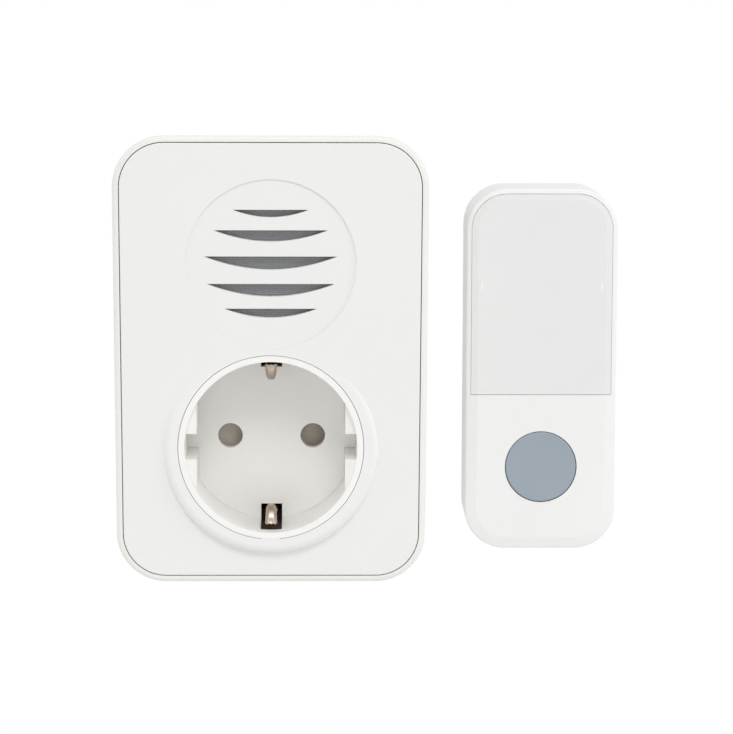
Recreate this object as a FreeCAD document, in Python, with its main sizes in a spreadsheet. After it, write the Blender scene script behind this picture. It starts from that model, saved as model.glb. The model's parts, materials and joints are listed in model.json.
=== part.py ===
import FreeCAD, Part

import math
import os
import re

import Sketcher

# A wireless doorbell in two units: a chime that plugs into a mains socket and carries a socket of
# its own on its front, and a battery bell push for the door frame.
# Millimetres. The origin is where the socket's axis meets the wall plane. +Z is up, +X is to the
# right for someone who faces the wall, and -Y points out of the wall. A "depth" below is the
# distance from the wall plane towards the room, so y = -depth. The bell push is drawn in a frame
# of its own, whose origin is the middle of its outline on the same wall plane.

SIZES = {
    # chime housing: outline at the collar's depth, height of the socket's axis, wall
    "housing_width": 70.4,
    "top_above_dish": 28.7,
    "axis_above_base": 31.6,
    "corner_radius": 11.5,
    "shell_draft": 4.0,
    "back_wall": 2.0,
    "rim_wall": 1.45,
    "rim_round": 1.0,
    # front cover: its face leans back towards the bottom and meets the collar's plane at one height
    "face_tilt": 3.0,
    "flush_height": 17.5,
    "seam_gap": 0.16,
    "cover_wall": 2.0,
    "cover_edge_round": 0.3,
    "skirt_wall": 1.4,
    "skirt_length": 7.0,
    # grille: a shallow dish with five slots, each a straight chord over a shallow arc
    "dish_clear": 0.7,
    "dish_radius": 19.2,
    "dish_drop": 0.35,
    "slot_bow": 0.1,
    "slot_1_rise": 12.3,
    "slot_1_width": 17.0,
    "slot_2_rise": 7.7,
    "slot_2_width": 25.6,
    "slot_3_rise": 1.8,
    "slot_3_width": 29.9,
    "slot_4_rise": -4.4,
    "slot_4_width": 28.7,
    "slot_5_rise": -10.0,
    "slot_5_width": 20.8,
    # socket: collar on the cover, insert inside it
    "collar_depth": 40.0,
    "collar_width": 3.5,
    "collar_round": 2.0,
    "collar_length": 4.0,
    "sleeve_wall": 1.9,
    "socket_radius": 19.5,
    "ring_width": 1.4,
    "ring_gap": 0.12,
    "recess_depth": 17.5,
    "floor_wall": 2.5,
    "flange_wall": 1.5,
    "clamp_gap": 0.1,
    "key_depth": 2.7,
    "ledge_drop": 1.5,
    "notch_width": 5.8,
    "window_width": 4.85,
    "window_play": 1.0,
    "window_stop": 3.7,
    "rim_key_width": 4.2,
    "pin_spacing": 19.0,
    "hole_play": 0.45,
    # plug on the back
    "plug_play": 1.0,
    "boss_length": 17.5,
    "rib_play": 0.5,
    "rib_inset": 0.15,
    "boss_chamfer": 0.8,
    "boss_flange_wall": 1.5,
    "seat_step": 0.4,
    "seat_wall": 1.8,
    "pin_radius": 2.4,
    "pin_shoulder": 0.2,
    "pin_length": 19.0,
    "pin_round": 1.3,
    "groove_width": 5.0,
    "groove_play": 0.7,
    # contacts behind the socket's floor
    "sleeve_metal": 0.85,
    "sleeve_play": 0.05,
    "sleeve_base": 0.8,
    "sleeve_slit": 0.8,
    "earth_inset": 2.5,
    "earth_strip": 0.8,
    "earth_back_width": 4.0,
    "earth_front_width": 2.6,
    "earth_back_length": 15.5,
    "earth_back_bow": 0.5,
    "clip_bulge": 2.8,
    "clip_nose_drop": 7.5,
    "clip_mouth_drop": 4.0,
    "clip_flare": 0.5,
    # shutter behind the pin holes
    "shutter_rim": 0.4,
    "shutter_wall": 2.0,
    "shutter_swing": 38.0,
    "shutter_play": 0.15,
    "pivot_radius": 1.5,
    "pivot_length": 5.0,
    "washer_radius": 2.8,
    "washer_wall": 0.4,
    "spring_wire": 0.25,
    "spring_leg": 5.5,
    # clearances
    "running_fit": 0.06,
    "part_gap": 0.2,
    "snug_fit": 0.03,
    # loudspeaker
    "speaker_radius": 18.0,
    "speaker_lip": 2.2,
    "speaker_depth": 9.0,
    "cloth_wall": 0.4,
    "magnet_radius": 9.5,
    "magnet_length": 4.5,
    "cone_wall": 0.4,
    "dust_cap_radius": 5.0,
    "coil_radius": 4.6,
    "well_wall": 1.2,
    # circuit board and what is on it
    "board_inset": 6.2,
    "board_below_dish": 16.7,
    "board_above_dish": 14.3,
    "board_depth": 6.4,
    "board_wall": 1.6,
    "board_screw_inset": 4.0,
    "boss_post_radius": 2.4,
    "film_cap_width": 13.0,
    "film_cap_height": 8.0,
    "film_cap_length": 11.0,
    "film_cap_from_side": 8.0,
    "film_cap_above": 8.0,
    "can_radius": 4.0,
    "can_length": 12.0,
    "can_from_side": 14.0,
    "can_below": 8.0,
    "chip_length": 10.0,
    "chip_width": 3.9,
    "chip_wall": 1.7,
    "chip_left": -5.0,
    "chip_above": 17.0,
    "memory_length": 5.0,
    "memory_left": 9.0,
    "radio_width": 15.0,
    "radio_length": 10.0,
    "radio_wall": 1.0,
    "radio_left": 3.0,
    "radio_below": 6.0,
    "radio_chip_left": 5.0,
    "radio_chip_lift": 3.0,
    "radio_chip_width": 4.0,
    "diode_radius": 1.2,
    "diode_length": 4.4,
    "diode_gap": 2.0,
    "diode_pitch": 3.4,
    "diode_above": 8.5,
    "fuse_radius": 1.6,
    "fuse_length": 9.0,
    "fuse_left": -5.0,
    "fuse_above": 4.0,
    "aerial_x": 15.0,
    "aerial_rise": 5.0,
    "aerial_bend": 17.0,
    "aerial_end": 7.0,
    "lead_turn_depth": 14.5,
    "lead_board_rise": 3.0,
    "aerial_wire": 0.4,
    "mains_wire": 0.8,
    "signal_wire": 0.5,
    # side buttons and their switches
    "button_below_dish": 1.7,
    "button_tall": 7.0,
    "button_wide": 4.6,
    "button_play": 0.15,
    "button_travel": 0.5,
    "button_lip": 1.0,
    "switch_size": 6.0,
    "switch_length": 4.4,
    "switch_stem": 1.2,
    "switch_inset": 2.0,
    # screws
    "case_screw_inset": 8.7,
    "case_screw_from_end": 9.2,
    "case_screw_radius": 1.45,
    "case_screw_head": 2.7,
    "case_screw_length": 12.0,
    "case_post_radius": 3.7,
    "case_post_depth": 14.0,
    "screw_seat": 2.0,
    "small_screw_radius": 1.0,
    "small_screw_head": 1.9,
    "small_screw_length": 5.0,
    # bell push: outline, face and walls
    "push_x": 62.6,
    "push_z": 14.45,
    "push_width": 35.0,
    "push_height": 84.4,
    "push_corner": 9.4,
    "push_lift": 0.3,
    "push_wall": 1.6,
    "bevel_width": 2.65,
    "bevel_drop": 0.6,
    "push_edge_round": 0.5,
    "pocket_floor": 1.4,
    "pocket_drop": 1.7,
    "panel_wall": 1.8,
    "window_inset": 1.1,
    "window_bottom": -5.85,
    "window_gap": 0.12,
    "card_wall": 0.3,
    "card_inset": 4.2,
    "card_margin": 1.6,
    "catch_inset": 3.6,
    "catch_z": 19.7,
    "catch_wall": 0.5,
    "catch_width": 1.6,
    "catch_length": 2.6,
    # bell button and switch
    "bell_x": 0.15,
    "bell_rise": 19.4,
    "bell_radius": 8.25,
    "bell_gap": 0.15,
    "bell_edge_round": 0.3,
    "bell_lip": 1.0,
    "bell_lip_wall": 1.2,
    "bell_skin": 1.6,
    "bell_skirt": 1.2,
    "bell_plunger": 2.0,
    "bell_travel": 0.8,
    "tact_size": 6.0,
    "tact_length": 3.5,
    "tact_stem": 1.7,
    "tact_gap": 0.1,
    # push board and battery
    "push_board_gap": 1.4,
    "push_board_end_gap": 2.6,
    "push_board_high": -1.0,
    "push_board_corner": 6.0,
    "push_board_depth": 5.0,
    "push_board_wall": 1.2,
    "push_screw_inset": 3.2,
    "push_screw_z": -10.2,
    "push_screw_rise": 2.7,
    "battery_radius": 5.15,
    "battery_length": 28.5,
    "battery_base": 4.0,
    "battery_clear": 1.3,
    "battery_cap_radius": 2.0,
    "battery_cap_wall": 0.6,
    "contact_wall": 0.4,
    "contact_half": 3.5,
    "contact_gap": 0.05,
    "dimple_radius": 1.4,
    "dimple_reach": 0.9,
    "bay_wall": 1.0,
    "bay_gap": 0.3,
    # push wall plate
    "plate_gap": 0.6,
    "plate_wall": 2.0,
    "plate_screw_spacing": 46.0,
    "plate_screw_radius": 2.0,
    "plate_screw_head": 3.8,
    "pad_half": 11.0,
    "pad_height": 13.0,
    "pad_wall": 0.6,
    "hook_half": 4.0,
    "hook_length": 3.0,
    "hook_wall": 1.2,
}

doc = FreeCAD.newDocument("Doorbell")
sheet = doc.addObject("Spreadsheet::Sheet", "Sizes")
for row, (name, amount) in enumerate(SIZES.items(), start=1):
    sheet.set(f"A{row}", name)
    sheet.set(f"B{row}", str(amount))
    sheet.setAlias(f"B{row}", name)
doc.recompute()

NODES = []

# Places and sizes that follow from the driving ones.
DERIVED = {
    # socket, from its recess outwards
    "insert_radius": "socket_radius + ring_width",
    "bore_radius": "insert_radius + ring_gap",
    "collar_radius": "bore_radius + collar_width",
    "collar_back_radius": "bore_radius + sleeve_wall",
    "flat_reach": "socket_radius - key_depth",
    "floor_depth": "collar_depth - recess_depth",
    "floor_back": "floor_depth - floor_wall",
    "flange_front": "floor_back + flange_wall",
    "seat_radius": "collar_back_radius - seat_step",
    "seat_bore": "seat_radius - seat_wall",
    "hole_radius": "pin_radius + hole_play",
    # heights on the chime's face
    "dish_height": "collar_back_radius + dish_clear + speaker_radius",
    "top": "dish_height + top_above_dish",
    "base": "-axis_above_base",
    "front_plane": "collar_depth + (top - flush_height) * tan(face_tilt) + 2",
    "skirt_back": "collar_depth - skirt_length",
    # plug, contacts and shutter
    "boss_radius": "socket_radius - plug_play",
    "boss_flat": "flat_reach - rib_play",
    "boss_rib_width": "notch_width - rib_play",
    "boss_rib_reach": "boss_radius - rib_inset",
    "boss_inner": "back_wall + boss_flange_wall",
    "boss_flange_radius": "seat_bore - part_gap",
    "pin_shank": "pin_radius - pin_shoulder",
    "sleeve_bore": "pin_radius + sleeve_play",
    "sleeve_radius": "sleeve_bore + sleeve_metal",
    "earth_radius": "socket_radius - earth_inset",
    "groove_floor": "earth_radius - groove_play",
    "window_start": "earth_radius - window_play",
    "clip_reach": "earth_radius - clip_bulge",
    "clip_mouth_radius": "earth_radius + earth_strip + clip_flare",
    "shutter_window": "hole_radius + shutter_play",
    "shutter_radius": "pin_spacing / 2 + shutter_window + shutter_rim",
    "shutter_back": "floor_back - part_gap - shutter_wall",
    # main board, its switches and the case screws
    "board_half": "housing_width / 2 - board_inset",
    "board_low": "dish_height - board_below_dish",
    "board_high": "dish_height + board_above_dish",
    "board_front": "board_depth + board_wall",
    "film_cap_left": "film_cap_from_side - board_half",
    "film_cap_right": "film_cap_left + film_cap_width",
    "film_cap_low": "board_low + film_cap_above",
    "diode_low": "board_low + diode_above",
    "chip_low": "board_low + chip_above",
    "radio_low": "board_high - radio_below",
    "board_screw_x": "board_half - board_screw_inset",
    "board_screw_low": "board_low + board_screw_inset",
    "board_screw_high": "board_high - board_screw_inset",
    "switch_reach": "board_half - switch_inset",
    "button_height": "dish_height - button_below_dish",
    "button_depth": "board_front + switch_size / 2",
    "case_screw_x": "housing_width / 2 - case_screw_inset",
    "case_screw_top": "top - case_screw_from_end",
    "case_screw_low": "base + case_screw_from_end",
    "screw_seat_depth": "case_post_depth - screw_seat",
    # bell push, from the wall outwards
    "battery_depth": "plate_wall + battery_clear + battery_radius",
    "push_inner_high": "battery_depth + battery_radius + bay_gap",
    "pocket_depth": "push_inner_high + pocket_floor",
    "push_depth": "pocket_depth + pocket_drop",
    "push_inner_low": "push_depth - panel_wall",
    "push_board_front": "push_board_depth + push_board_wall",
    "push_board_half": "push_width / 2 - push_wall - push_board_gap",
    "push_board_low": "push_wall + push_board_end_gap - push_height / 2",
    "push_screw_x": "push_board_half - push_screw_inset",
    "push_screw_low": "push_board_low + push_screw_rise",
    "bell_z": "bell_rise - push_height / 2",
    "catch_x": "push_width / 2 - catch_inset",
    "card_half": "push_width / 2 - card_inset",
    "battery_top": "battery_base + battery_length",
    "plate_half": "push_width / 2 - push_wall - plate_gap",
    "plate_half_height": "push_height / 2 - push_wall - plate_gap",
    "plate_corner": "push_corner - push_wall - plate_gap",
}
WORD = re.compile(r"[a-z]\w*")
SAME = 0.01
OUT_OF_WALL = 90.0
INTO_WALL = -90.0


def formula(text):
    """The formula as the document reads it: derived names spelled out, sizes as cells."""
    def spell(match):
        name = match.group()
        if name in DERIVED:
            return f"({formula(DERIVED[name])})"
        return f"Sizes.{name}" if name in SIZES else name

    return WORD.sub(spell, text)


def number(text):
    """What a formula comes to with the sizes of now."""
    return float(sheet.evalExpression(formula(text)))


def bind(thing, **formulas):
    """Ties properties of an object to formulas; a double underscore stands for a dot."""
    for name, text in formulas.items():
        thing.setExpression(name.replace("__", "."), formula(text))


def place(thing, at=("0", "0", "0"), turn=0.0, turn_by=None):
    """Puts an object's own origin at a point and turns it about X, by a fixed or a bound angle."""
    angle = turn if turn_by is None else number(turn_by)
    spot = FreeCAD.Vector(*[number(text) for text in at])
    turned_by = FreeCAD.Rotation(FreeCAD.Vector(1, 0, 0), angle)
    thing.Placement = FreeCAD.Placement(spot, turned_by)
    bind(thing, Placement__Base__x=at[0], Placement__Base__y=at[1], Placement__Base__z=at[2])
    if turn_by is not None:
        bind(thing, Placement__Rotation__Angle=turn_by)


def node(thing, label):
    """Names a finished piece and puts it on the list of files to write."""
    thing.Label = label
    NODES.append(thing)
    return thing


def minus(text):
    return f"(-({text}))"


def face_depth(height):
    """Depth of the chime's leaning face at a height above the socket's axis."""
    return f"(collar_depth + (({height}) - flush_height) * tan(face_tilt))"


DISH = ("0", minus(face_depth("dish_height")), "dish_height")
FACE_TURN = "90 + face_tilt"


def new_body(at=("0", "0", "0"), turn=0.0, turn_by=None):
    body = doc.addObject("PartDesign::Body", "Body")
    place(body, at, turn, turn_by)
    return body


def new_sketch(body, role, offset="0"):
    """A sketch on one of the body's own origin planes, moved along its normal."""
    plane = next(f for f in body.Origin.OriginFeatures if f.Role == role)
    made = body.newObject("Sketcher::SketchObject", "Sketch")
    made.AttachmentSupport = (plane, [""])
    made.MapMode = "FlatFace"
    bind(made, AttachmentOffset__Base__z=offset)
    return made


def hold(made, kind, geometry, text):
    """Fixes the first point of a line, or a centre, at a distance from the sketch's origin."""
    point = 3 if made.Geometry[geometry].TypeId == "Part::GeomCircle" else 1
    rule = made.addConstraint(Sketcher.Constraint(kind, -1, 1, geometry, point, number(text)))
    made.setExpression(f"Constraints[{rule}]", formula(text))


def hold_radius(made, geometry, text):
    rule = made.addConstraint(Sketcher.Constraint("Radius", geometry, number(text)))
    made.setExpression(f"Constraints[{rule}]", formula(text))


def draw_polygon(made, points):
    """A closed outline of straight lines through points given by formulas."""
    first = made.GeometryCount
    count = len(points)
    spots = [FreeCAD.Vector(number(a), number(b), 0) for a, b in points]
    lines = [Part.LineSegment(spots[i], spots[(i + 1) % count]) for i in range(count)]
    made.addGeometry(lines, False)
    made.addConstraint([
        Sketcher.Constraint("Coincident", first + i, 2, first + (i + 1) % count, 1)
        for i in range(count)
    ])
    for i, (a, b) in enumerate(points):
        hold(made, "DistanceX", first + i, a)
        hold(made, "DistanceY", first + i, b)


def draw_box(made, left, right, low, high):
    draw_polygon(made, [(left, low), (right, low), (right, high), (left, high)])


def draw_circle(made, x, z, radius):
    first = made.GeometryCount
    centre = FreeCAD.Vector(number(x), number(z), 0)
    made.addGeometry(Part.Circle(centre, FreeCAD.Vector(0, 0, 1), number(radius)), False)
    hold(made, "DistanceX", first, x)
    hold(made, "DistanceY", first, z)
    hold_radius(made, first, radius)


def draw_rounded(made, left, right, low, high, radius):
    """A rectangle with four equal round corners, its sides given by formulas."""
    first = made.GeometryCount
    west, east = number(left), number(right)
    south, north, round_by = number(low), number(high), number(radius)
    vector = FreeCAD.Vector
    sides = [
        Part.LineSegment(vector(west + round_by, south, 0), vector(east - round_by, south, 0)),
        Part.LineSegment(vector(east, south + round_by, 0), vector(east, north - round_by, 0)),
        Part.LineSegment(vector(east - round_by, north, 0), vector(west + round_by, north, 0)),
        Part.LineSegment(vector(west, north - round_by, 0), vector(west, south + round_by, 0)),
    ]
    centres = [
        (east - round_by, south + round_by),
        (east - round_by, north - round_by),
        (west + round_by, north - round_by),
        (west + round_by, south + round_by),
    ]
    arcs = []
    for quarter, (x, z) in enumerate(centres):
        circle = Part.Circle(vector(x, z, 0), vector(0, 0, 1), round_by)
        start = math.pi / 2 * (quarter - 1)
        arcs.append(Part.ArcOfCircle(circle, start, start + math.pi / 2))
    made.addGeometry(sides + arcs, False)
    rules = []
    for side in range(4):
        arc = first + 4 + side
        rules.append(Sketcher.Constraint("Tangent", first + side, 2, arc, 1))
        rules.append(Sketcher.Constraint("Tangent", arc, 2, first + (side + 1) % 4, 1))
        rules.append(Sketcher.Constraint("Vertical" if side % 2 else "Horizontal", first + side))
    for arc in range(5, 8):
        rules.append(Sketcher.Constraint("Equal", first + 4, first + arc))
    made.addConstraint(rules)
    hold_radius(made, first + 4, radius)
    hold(made, "DistanceX", first + 3, left)
    hold(made, "DistanceX", first + 1, right)
    hold(made, "DistanceY", first, low)
    hold(made, "DistanceY", first + 2, high)


def draw_lens(made, height, width):
    """A chord with a shallow arc hanging below it; the arc's bow is a share of its width."""
    first = made.GeometryCount
    reach, level, bow = number(width) / 2, number(height), number("slot_bow")
    radius = reach * (1 / (4 * bow) + bow)
    rise = math.sqrt(radius**2 - reach**2)
    centre = FreeCAD.Vector(0, level + rise, 0)
    swing = math.atan2(rise, reach)
    chord = Part.LineSegment(FreeCAD.Vector(-reach, level, 0), FreeCAD.Vector(reach, level, 0))
    circle = Part.Circle(centre, FreeCAD.Vector(0, 0, 1), radius)
    made.addGeometry([chord, Part.ArcOfCircle(circle, math.pi + swing, 2 * math.pi - swing)], False)
    made.addConstraint([
        Sketcher.Constraint("Coincident", first, 1, first + 1, 1),
        Sketcher.Constraint("Coincident", first, 2, first + 1, 2),
        Sketcher.Constraint("Symmetric", first, 1, first, 2, -2),
    ])
    hold(made, "DistanceX", first, f"-({width}) / 2")
    hold(made, "DistanceY", first, height)
    hold_radius(made, first + 1, f"({width}) / 2 * (1 / (4 * slot_bow) + slot_bow)")


def pad(body, made, length, backwards=False, both_ways=False, taper=None):
    """Adds a sketch's shape, along its normal, against it or half each way."""
    feature = body.newObject("PartDesign::Pad", "Pad")
    feature.Profile = made
    feature.Reversed = backwards
    if both_ways:
        feature.SideType = "Symmetric"
    bind(feature, Length=length)
    if taper is not None:
        bind(feature, TaperAngle=taper)
    doc.recompute()
    return feature


def pocket(body, made, length=None, along=False):
    """Cuts a sketch's shape against its normal, along it, or right through both ways."""
    before = body.Shape.Volume
    feature = body.newObject("PartDesign::Pocket", "Pocket")
    feature.Profile = made
    feature.Reversed = along
    if length is None:
        feature.Type = "ThroughAll"
        feature.SideType = "Symmetric"
    else:
        bind(feature, Length=length)
    doc.recompute()
    if body.Shape.Volume >= before:
        raise RuntimeError(f"a pocket in {body.Label} cuts nothing")
    return feature


def round_edges(body, wanted, radius):
    """Fillets the edges of the body's last feature that a test picks out."""
    base = body.Tip
    feature = body.newObject("PartDesign::Fillet", "Fillet")
    names = [f"Edge{i}" for i, e in enumerate(base.Shape.Edges, start=1) if wanted(e)]
    feature.Base = (base, names)
    bind(feature, Radius=radius)
    doc.recompute()
    return feature


def turned(points, at=("0", "0", "0"), turn=OUT_OF_WALL, turn_by=None):
    """A turned piece from (radius, distance along the axis) points; its axis starts at a point."""
    body = new_body(at, turn, turn_by)
    made = new_sketch(body, "XZ_Plane")
    draw_polygon(made, points)
    feature = body.newObject("PartDesign::Revolution", "Revolution")
    feature.Profile = made
    feature.ReferenceAxis = (made, ["V_Axis"])
    feature.Angle = 360.0
    doc.recompute()
    return body


def block(x, y, z):
    """A box between two formulas along each axis."""
    made = doc.addObject("Part::Box", "Box")
    bind(
        made,
        Length=f"({x[1]}) - ({x[0]})",
        Width=f"({y[1]}) - ({y[0]})",
        Height=f"({z[1]}) - ({z[0]})",
        Placement__Base__x=x[0],
        Placement__Base__y=y[0],
        Placement__Base__z=z[0],
    )
    return made


def deep_block(x, depth, z):
    """A box whose middle span is given as depths from the wall."""
    return block(x, (minus(depth[1]), minus(depth[0])), z)


def disc(x, z, radius, depth):
    """A cylinder along the depth, between two depths."""
    made = doc.addObject("Part::Cylinder", "Cylinder")
    place(made, (x, minus(depth[0]), z), OUT_OF_WALL)
    bind(made, Radius=radius, Height=f"({depth[1]}) - ({depth[0]})")
    return made


def upright_disc(x, depth, radius, z):
    """A cylinder along Z, between two heights."""
    made = doc.addObject("Part::Cylinder", "Cylinder")
    place(made, (x, minus(depth), z[0]))
    bind(made, Radius=radius, Height=f"({z[1]}) - ({z[0]})")
    return made


def level_disc(depth, z, radius, x):
    """A cylinder along X, between two places."""
    made = doc.addObject("Part::Cylinder", "Cylinder")
    spot = FreeCAD.Vector(number(x[0]), -number(depth), number(z))
    made.Placement = FreeCAD.Placement(spot, FreeCAD.Rotation(FreeCAD.Vector(0, 1, 0), 90))
    bind(
        made,
        Placement__Base__x=x[0],
        Placement__Base__y=minus(depth),
        Placement__Base__z=z,
        Radius=radius,
        Height=f"({x[1]}) - ({x[0]})",
    )
    return made


def joined(*pieces):
    made = doc.addObject("Part::MultiFuse", "Joined")
    made.Shapes = list(pieces)
    return made


def less(base, *tools):
    """The base with the tools cut out of it."""
    made = doc.addObject("Part::Cut", "Cut")
    made.Base = base
    made.Tool = tools[0] if len(tools) == 1 else joined(*tools)
    return made


def shared(first, second):
    made = doc.addObject("Part::Common", "Shared")
    made.Base = first
    made.Tool = second
    return made


def group(label, pieces):
    made = doc.addObject("Part::Compound", "Group")
    made.Links = list(pieces)
    return node(made, label)


def at_push(x="0", depth="0", z="0"):
    """A point of the bell push's own frame, as a place in the whole part."""
    return (f"push_x + ({x})", minus(depth), f"push_z + ({z})")


def push_span_x(low, high):
    return (f"push_x + ({low})", f"push_x + ({high})")


def push_span_z(low, high):
    return (f"push_z + ({low})", f"push_z + ({high})")


def wire(points, thickness):
    """A round wire along straight runs joined by tangent arcs; each arc is as large as fits."""
    spots = [FreeCAD.Vector(number(x), -number(depth), number(z)) for x, depth, z in points]
    edges = []
    last = spots[0]
    for before, corner, after in zip(spots, spots[1:], spots[2:]):
        there = (corner - before).normalize()
        onward = (after - corner).normalize()
        trim = 0.45 * min((corner - before).Length, (after - corner).Length)
        half_turn = there.getAngle(onward) / 2
        sagitta = trim * math.tan(half_turn / 2)
        start = corner - there * trim
        end = corner + onward * trim
        middle = corner + ((start + end) * 0.5 - corner).normalize() * sagitta
        edges.append(Part.LineSegment(last, start).toShape())
        edges.append(Part.Arc(start, middle, end).toShape())
        last = end
    edges.append(Part.LineSegment(last, spots[-1]).toShape())
    path = Part.Wire(edges)
    direction = (spots[1] - spots[0]).normalize()
    radius = number(thickness)
    ring = Part.Wire([Part.Circle(spots[0], direction, radius).toShape()])
    tube = path.makePipeShell([ring], True, False)
    expected = math.pi * radius**2 * path.Length
    if abs(tube.Volume - expected) > 0.02 * expected:
        raise RuntimeError("a wire's volume is not its section times its length")
    made = doc.addObject("Part::Feature", "Wire")
    made.Shape = tube
    return made


def screw(x, z, depth, head_radius, head_wall, shank_radius, length):
    """A pan-head screw that points out of the wall, its head's seat at a depth, with a cross slot."""
    body = turned([
        ("0", f"{depth} - {head_wall}"),
        (head_radius, f"{depth} - {head_wall}"),
        (head_radius, depth),
        (shank_radius, depth),
        (shank_radius, f"{depth} + {length} - {shank_radius}"),
        (f"{shank_radius} / 3", f"{depth} + {length}"),
        ("0", f"{depth} + {length}"),
    ], (x, "0", z))
    recess = (f"{depth} - {head_wall} - 1", f"{depth} - {head_wall} / 2")
    arm = f"{head_radius} * 0.55"
    slit = f"{head_radius} * 0.14"
    across = deep_block((f"{x} - {arm}", f"{x} + {arm}"), recess, (f"{z} - {slit}", f"{z} + {slit}"))
    upward = deep_block((f"{x} - {slit}", f"{x} + {slit}"), recess, (f"{z} - {arm}", f"{z} + {arm}"))
    return less(body, across, upward)


def on_leaning_plane(behind_face):
    """A test for edges that lie on a plane behind the chime's leaning face."""
    tilt = math.tan(math.radians(number("face_tilt")))
    start = number("collar_depth") - number(behind_face)
    flush = number("flush_height")

    def wanted(edge):
        spots = [v.Point for v in edge.Vertexes]
        return all(abs(-p.y - start - (p.z - flush) * tilt) < SAME for p in spots)

    return wanted


def moulded_block(inset, back, behind_face, rounding=None):
    """The chime's drafted outline, moved inwards, between a depth and the leaning face."""
    body = new_body()
    outline = new_sketch(body, "XZ_Plane", "front_plane")
    grow = f"((front_plane - collar_depth) * tan(shell_draft) - ({inset}))"
    draw_rounded(
        outline,
        f"-housing_width / 2 - {grow}",
        f"housing_width / 2 + {grow}",
        f"base - {grow}",
        f"top + {grow}",
        f"corner_radius + {grow}",
    )
    pad(body, outline, f"front_plane - ({back})", backwards=True, taper="-shell_draft")
    lean = new_sketch(body, "YZ_Plane")
    reach = "(-(front_plane) - 10)"
    low, high = "(base - 10)", "(top + 10)"
    draw_polygon(lean, [
        (f"-{face_depth(low)} + ({behind_face})", low),
        (f"-{face_depth(high)} + ({behind_face})", high),
        (reach, high),
        (reach, low),
    ])
    pocket(body, lean)
    if rounding is not None:
        round_edges(body, on_leaning_plane(behind_face), rounding)
    return body


def case_screw_places():
    for side in ("-", ""):
        for height in ("case_screw_top", "case_screw_low"):
            yield f"{side}case_screw_x", height


def board_screw_places():
    for side in ("-", ""):
        for height in ("board_screw_low", "board_screw_high"):
            yield f"{side}board_screw_x", height


def side_wall(depth):
    """Half the housing's width at a depth, outside its drafted wall."""
    return f"(housing_width / 2 - (collar_depth - ({depth})) * tan(shell_draft))"


BUTTON_SIDES = (("left", "melody", -1), ("right", "volume", 1))


def side_span(side, low, high):
    """A span along X on one side of the chime, low to high from the middle outwards."""
    return (low, high) if side > 0 else (minus(high), minus(low))


def make_rear_housing():
    shell = moulded_block("0", "0", "0", rounding="rim_round")
    core = moulded_block("rim_wall", "back_wall", "-3")
    ring = less(
        disc("0", "0", "seat_radius", ("0", "floor_back")),
        disc("0", "0", "seat_bore", ("back_wall", "floor_back + 1")),
    )
    adds = [less(shell, core), ring]
    cuts = [disc("0", "0", "boss_radius + part_gap / 2", ("-1", "back_wall + 1"))]
    for x, z in case_screw_places():
        adds.append(disc(x, z, "case_post_radius", ("0", "case_post_depth")))
        cuts.append(disc(x, z, "case_screw_head + part_gap", ("-1", "screw_seat_depth")))
        cuts.append(disc(x, z, "case_screw_radius + part_gap", ("0", "case_post_depth + 1")))
    for x, z in board_screw_places():
        adds.append(disc(x, z, "boss_post_radius", ("0", "board_depth")))
        pilot = ("back_wall / 2", "board_depth + 1")
        cuts.append(disc(x, z, "small_screw_radius + snug_fit", pilot))
    for side in (-1, 1):
        lead = ("pin_spacing / 2 - 1.2", "pin_spacing / 2 + 1.2")
        cuts.append(deep_block(side_span(side, *lead), ("11", "floor_back + 1"), ("15", "25")))
        wall = side_span(side, "switch_reach + 3", "housing_width / 2 + 5")
        cuts.append(deep_block(
            wall,
            ("button_depth - button_wide / 2 - button_play",
             "button_depth + button_wide / 2 + button_play"),
            ("button_height - button_tall / 2 - button_play",
             "button_height + button_tall / 2 + button_play"),
        ))
    node(less(joined(*adds), *cuts), "rear_housing")


def make_front_cover():
    inset = "rim_wall + seam_gap"
    shell = moulded_block(inset, "skirt_back", "0", rounding="cover_edge_round")
    core = moulded_block(f"{inset} + skirt_wall", "skirt_back - 1", "cover_wall")
    sleeve_back = "flange_front + clamp_gap"
    collar = turned([
        ("bore_radius", sleeve_back),
        ("collar_back_radius", sleeve_back),
        ("collar_back_radius", "collar_depth - collar_length"),
        ("collar_radius", "collar_depth - collar_length"),
        ("collar_radius", "collar_depth"),
        ("bore_radius", "collar_depth"),
    ])
    rim = number("collar_radius")

    def outer_front(edge):
        spot = edge.valueAt(edge.FirstParameter)
        radius = math.hypot(spot.x, spot.y)
        return abs(radius - rim) < SAME and abs(spot.z - number("collar_depth")) < SAME

    round_edges(collar, outer_front, "collar_round")
    adds = [less(shell, core), collar]
    well = less(
        tilted_disc("speaker_radius + part_gap + well_wall", "cover_wall + 3.5", "cover_wall / 2"),
        tilted_disc("speaker_radius + part_gap", "cover_wall + 5", "cover_wall / 4"),
    )
    adds.append(well)
    cuts = [
        disc("0", "0", "bore_radius", ("0", "collar_depth + 5")),
        tilted_disc("dish_radius", "dish_drop", "-1"),
        grille_slots(),
    ]
    for x, z in case_screw_places():
        post = ("case_post_depth + clamp_gap", f"{face_depth(z)} - cover_wall / 2")
        adds.append(disc(x, z, "case_post_radius - 0.5", post))
        hole = ("case_post_depth", "screw_seat_depth + case_screw_length + 1")
        cuts.append(disc(x, z, "case_screw_radius + snug_fit", hole))
    node(less(joined(*adds), *cuts), "front_cover")


def tilted_disc(radius, behind, before):
    """A cylinder square to the leaning face at the grille, between two distances behind it."""
    made = doc.addObject("Part::Cylinder", "Cylinder")
    lean = "face_tilt"
    spot = (
        "0",
        f"-{face_depth('dish_height')} + ({behind}) * cos({lean})",
        f"dish_height + ({behind}) * sin({lean})",
    )
    place(made, spot, turn_by=FACE_TURN)
    bind(made, Radius=radius, Height=f"({behind}) - ({before})")
    return made


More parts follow.
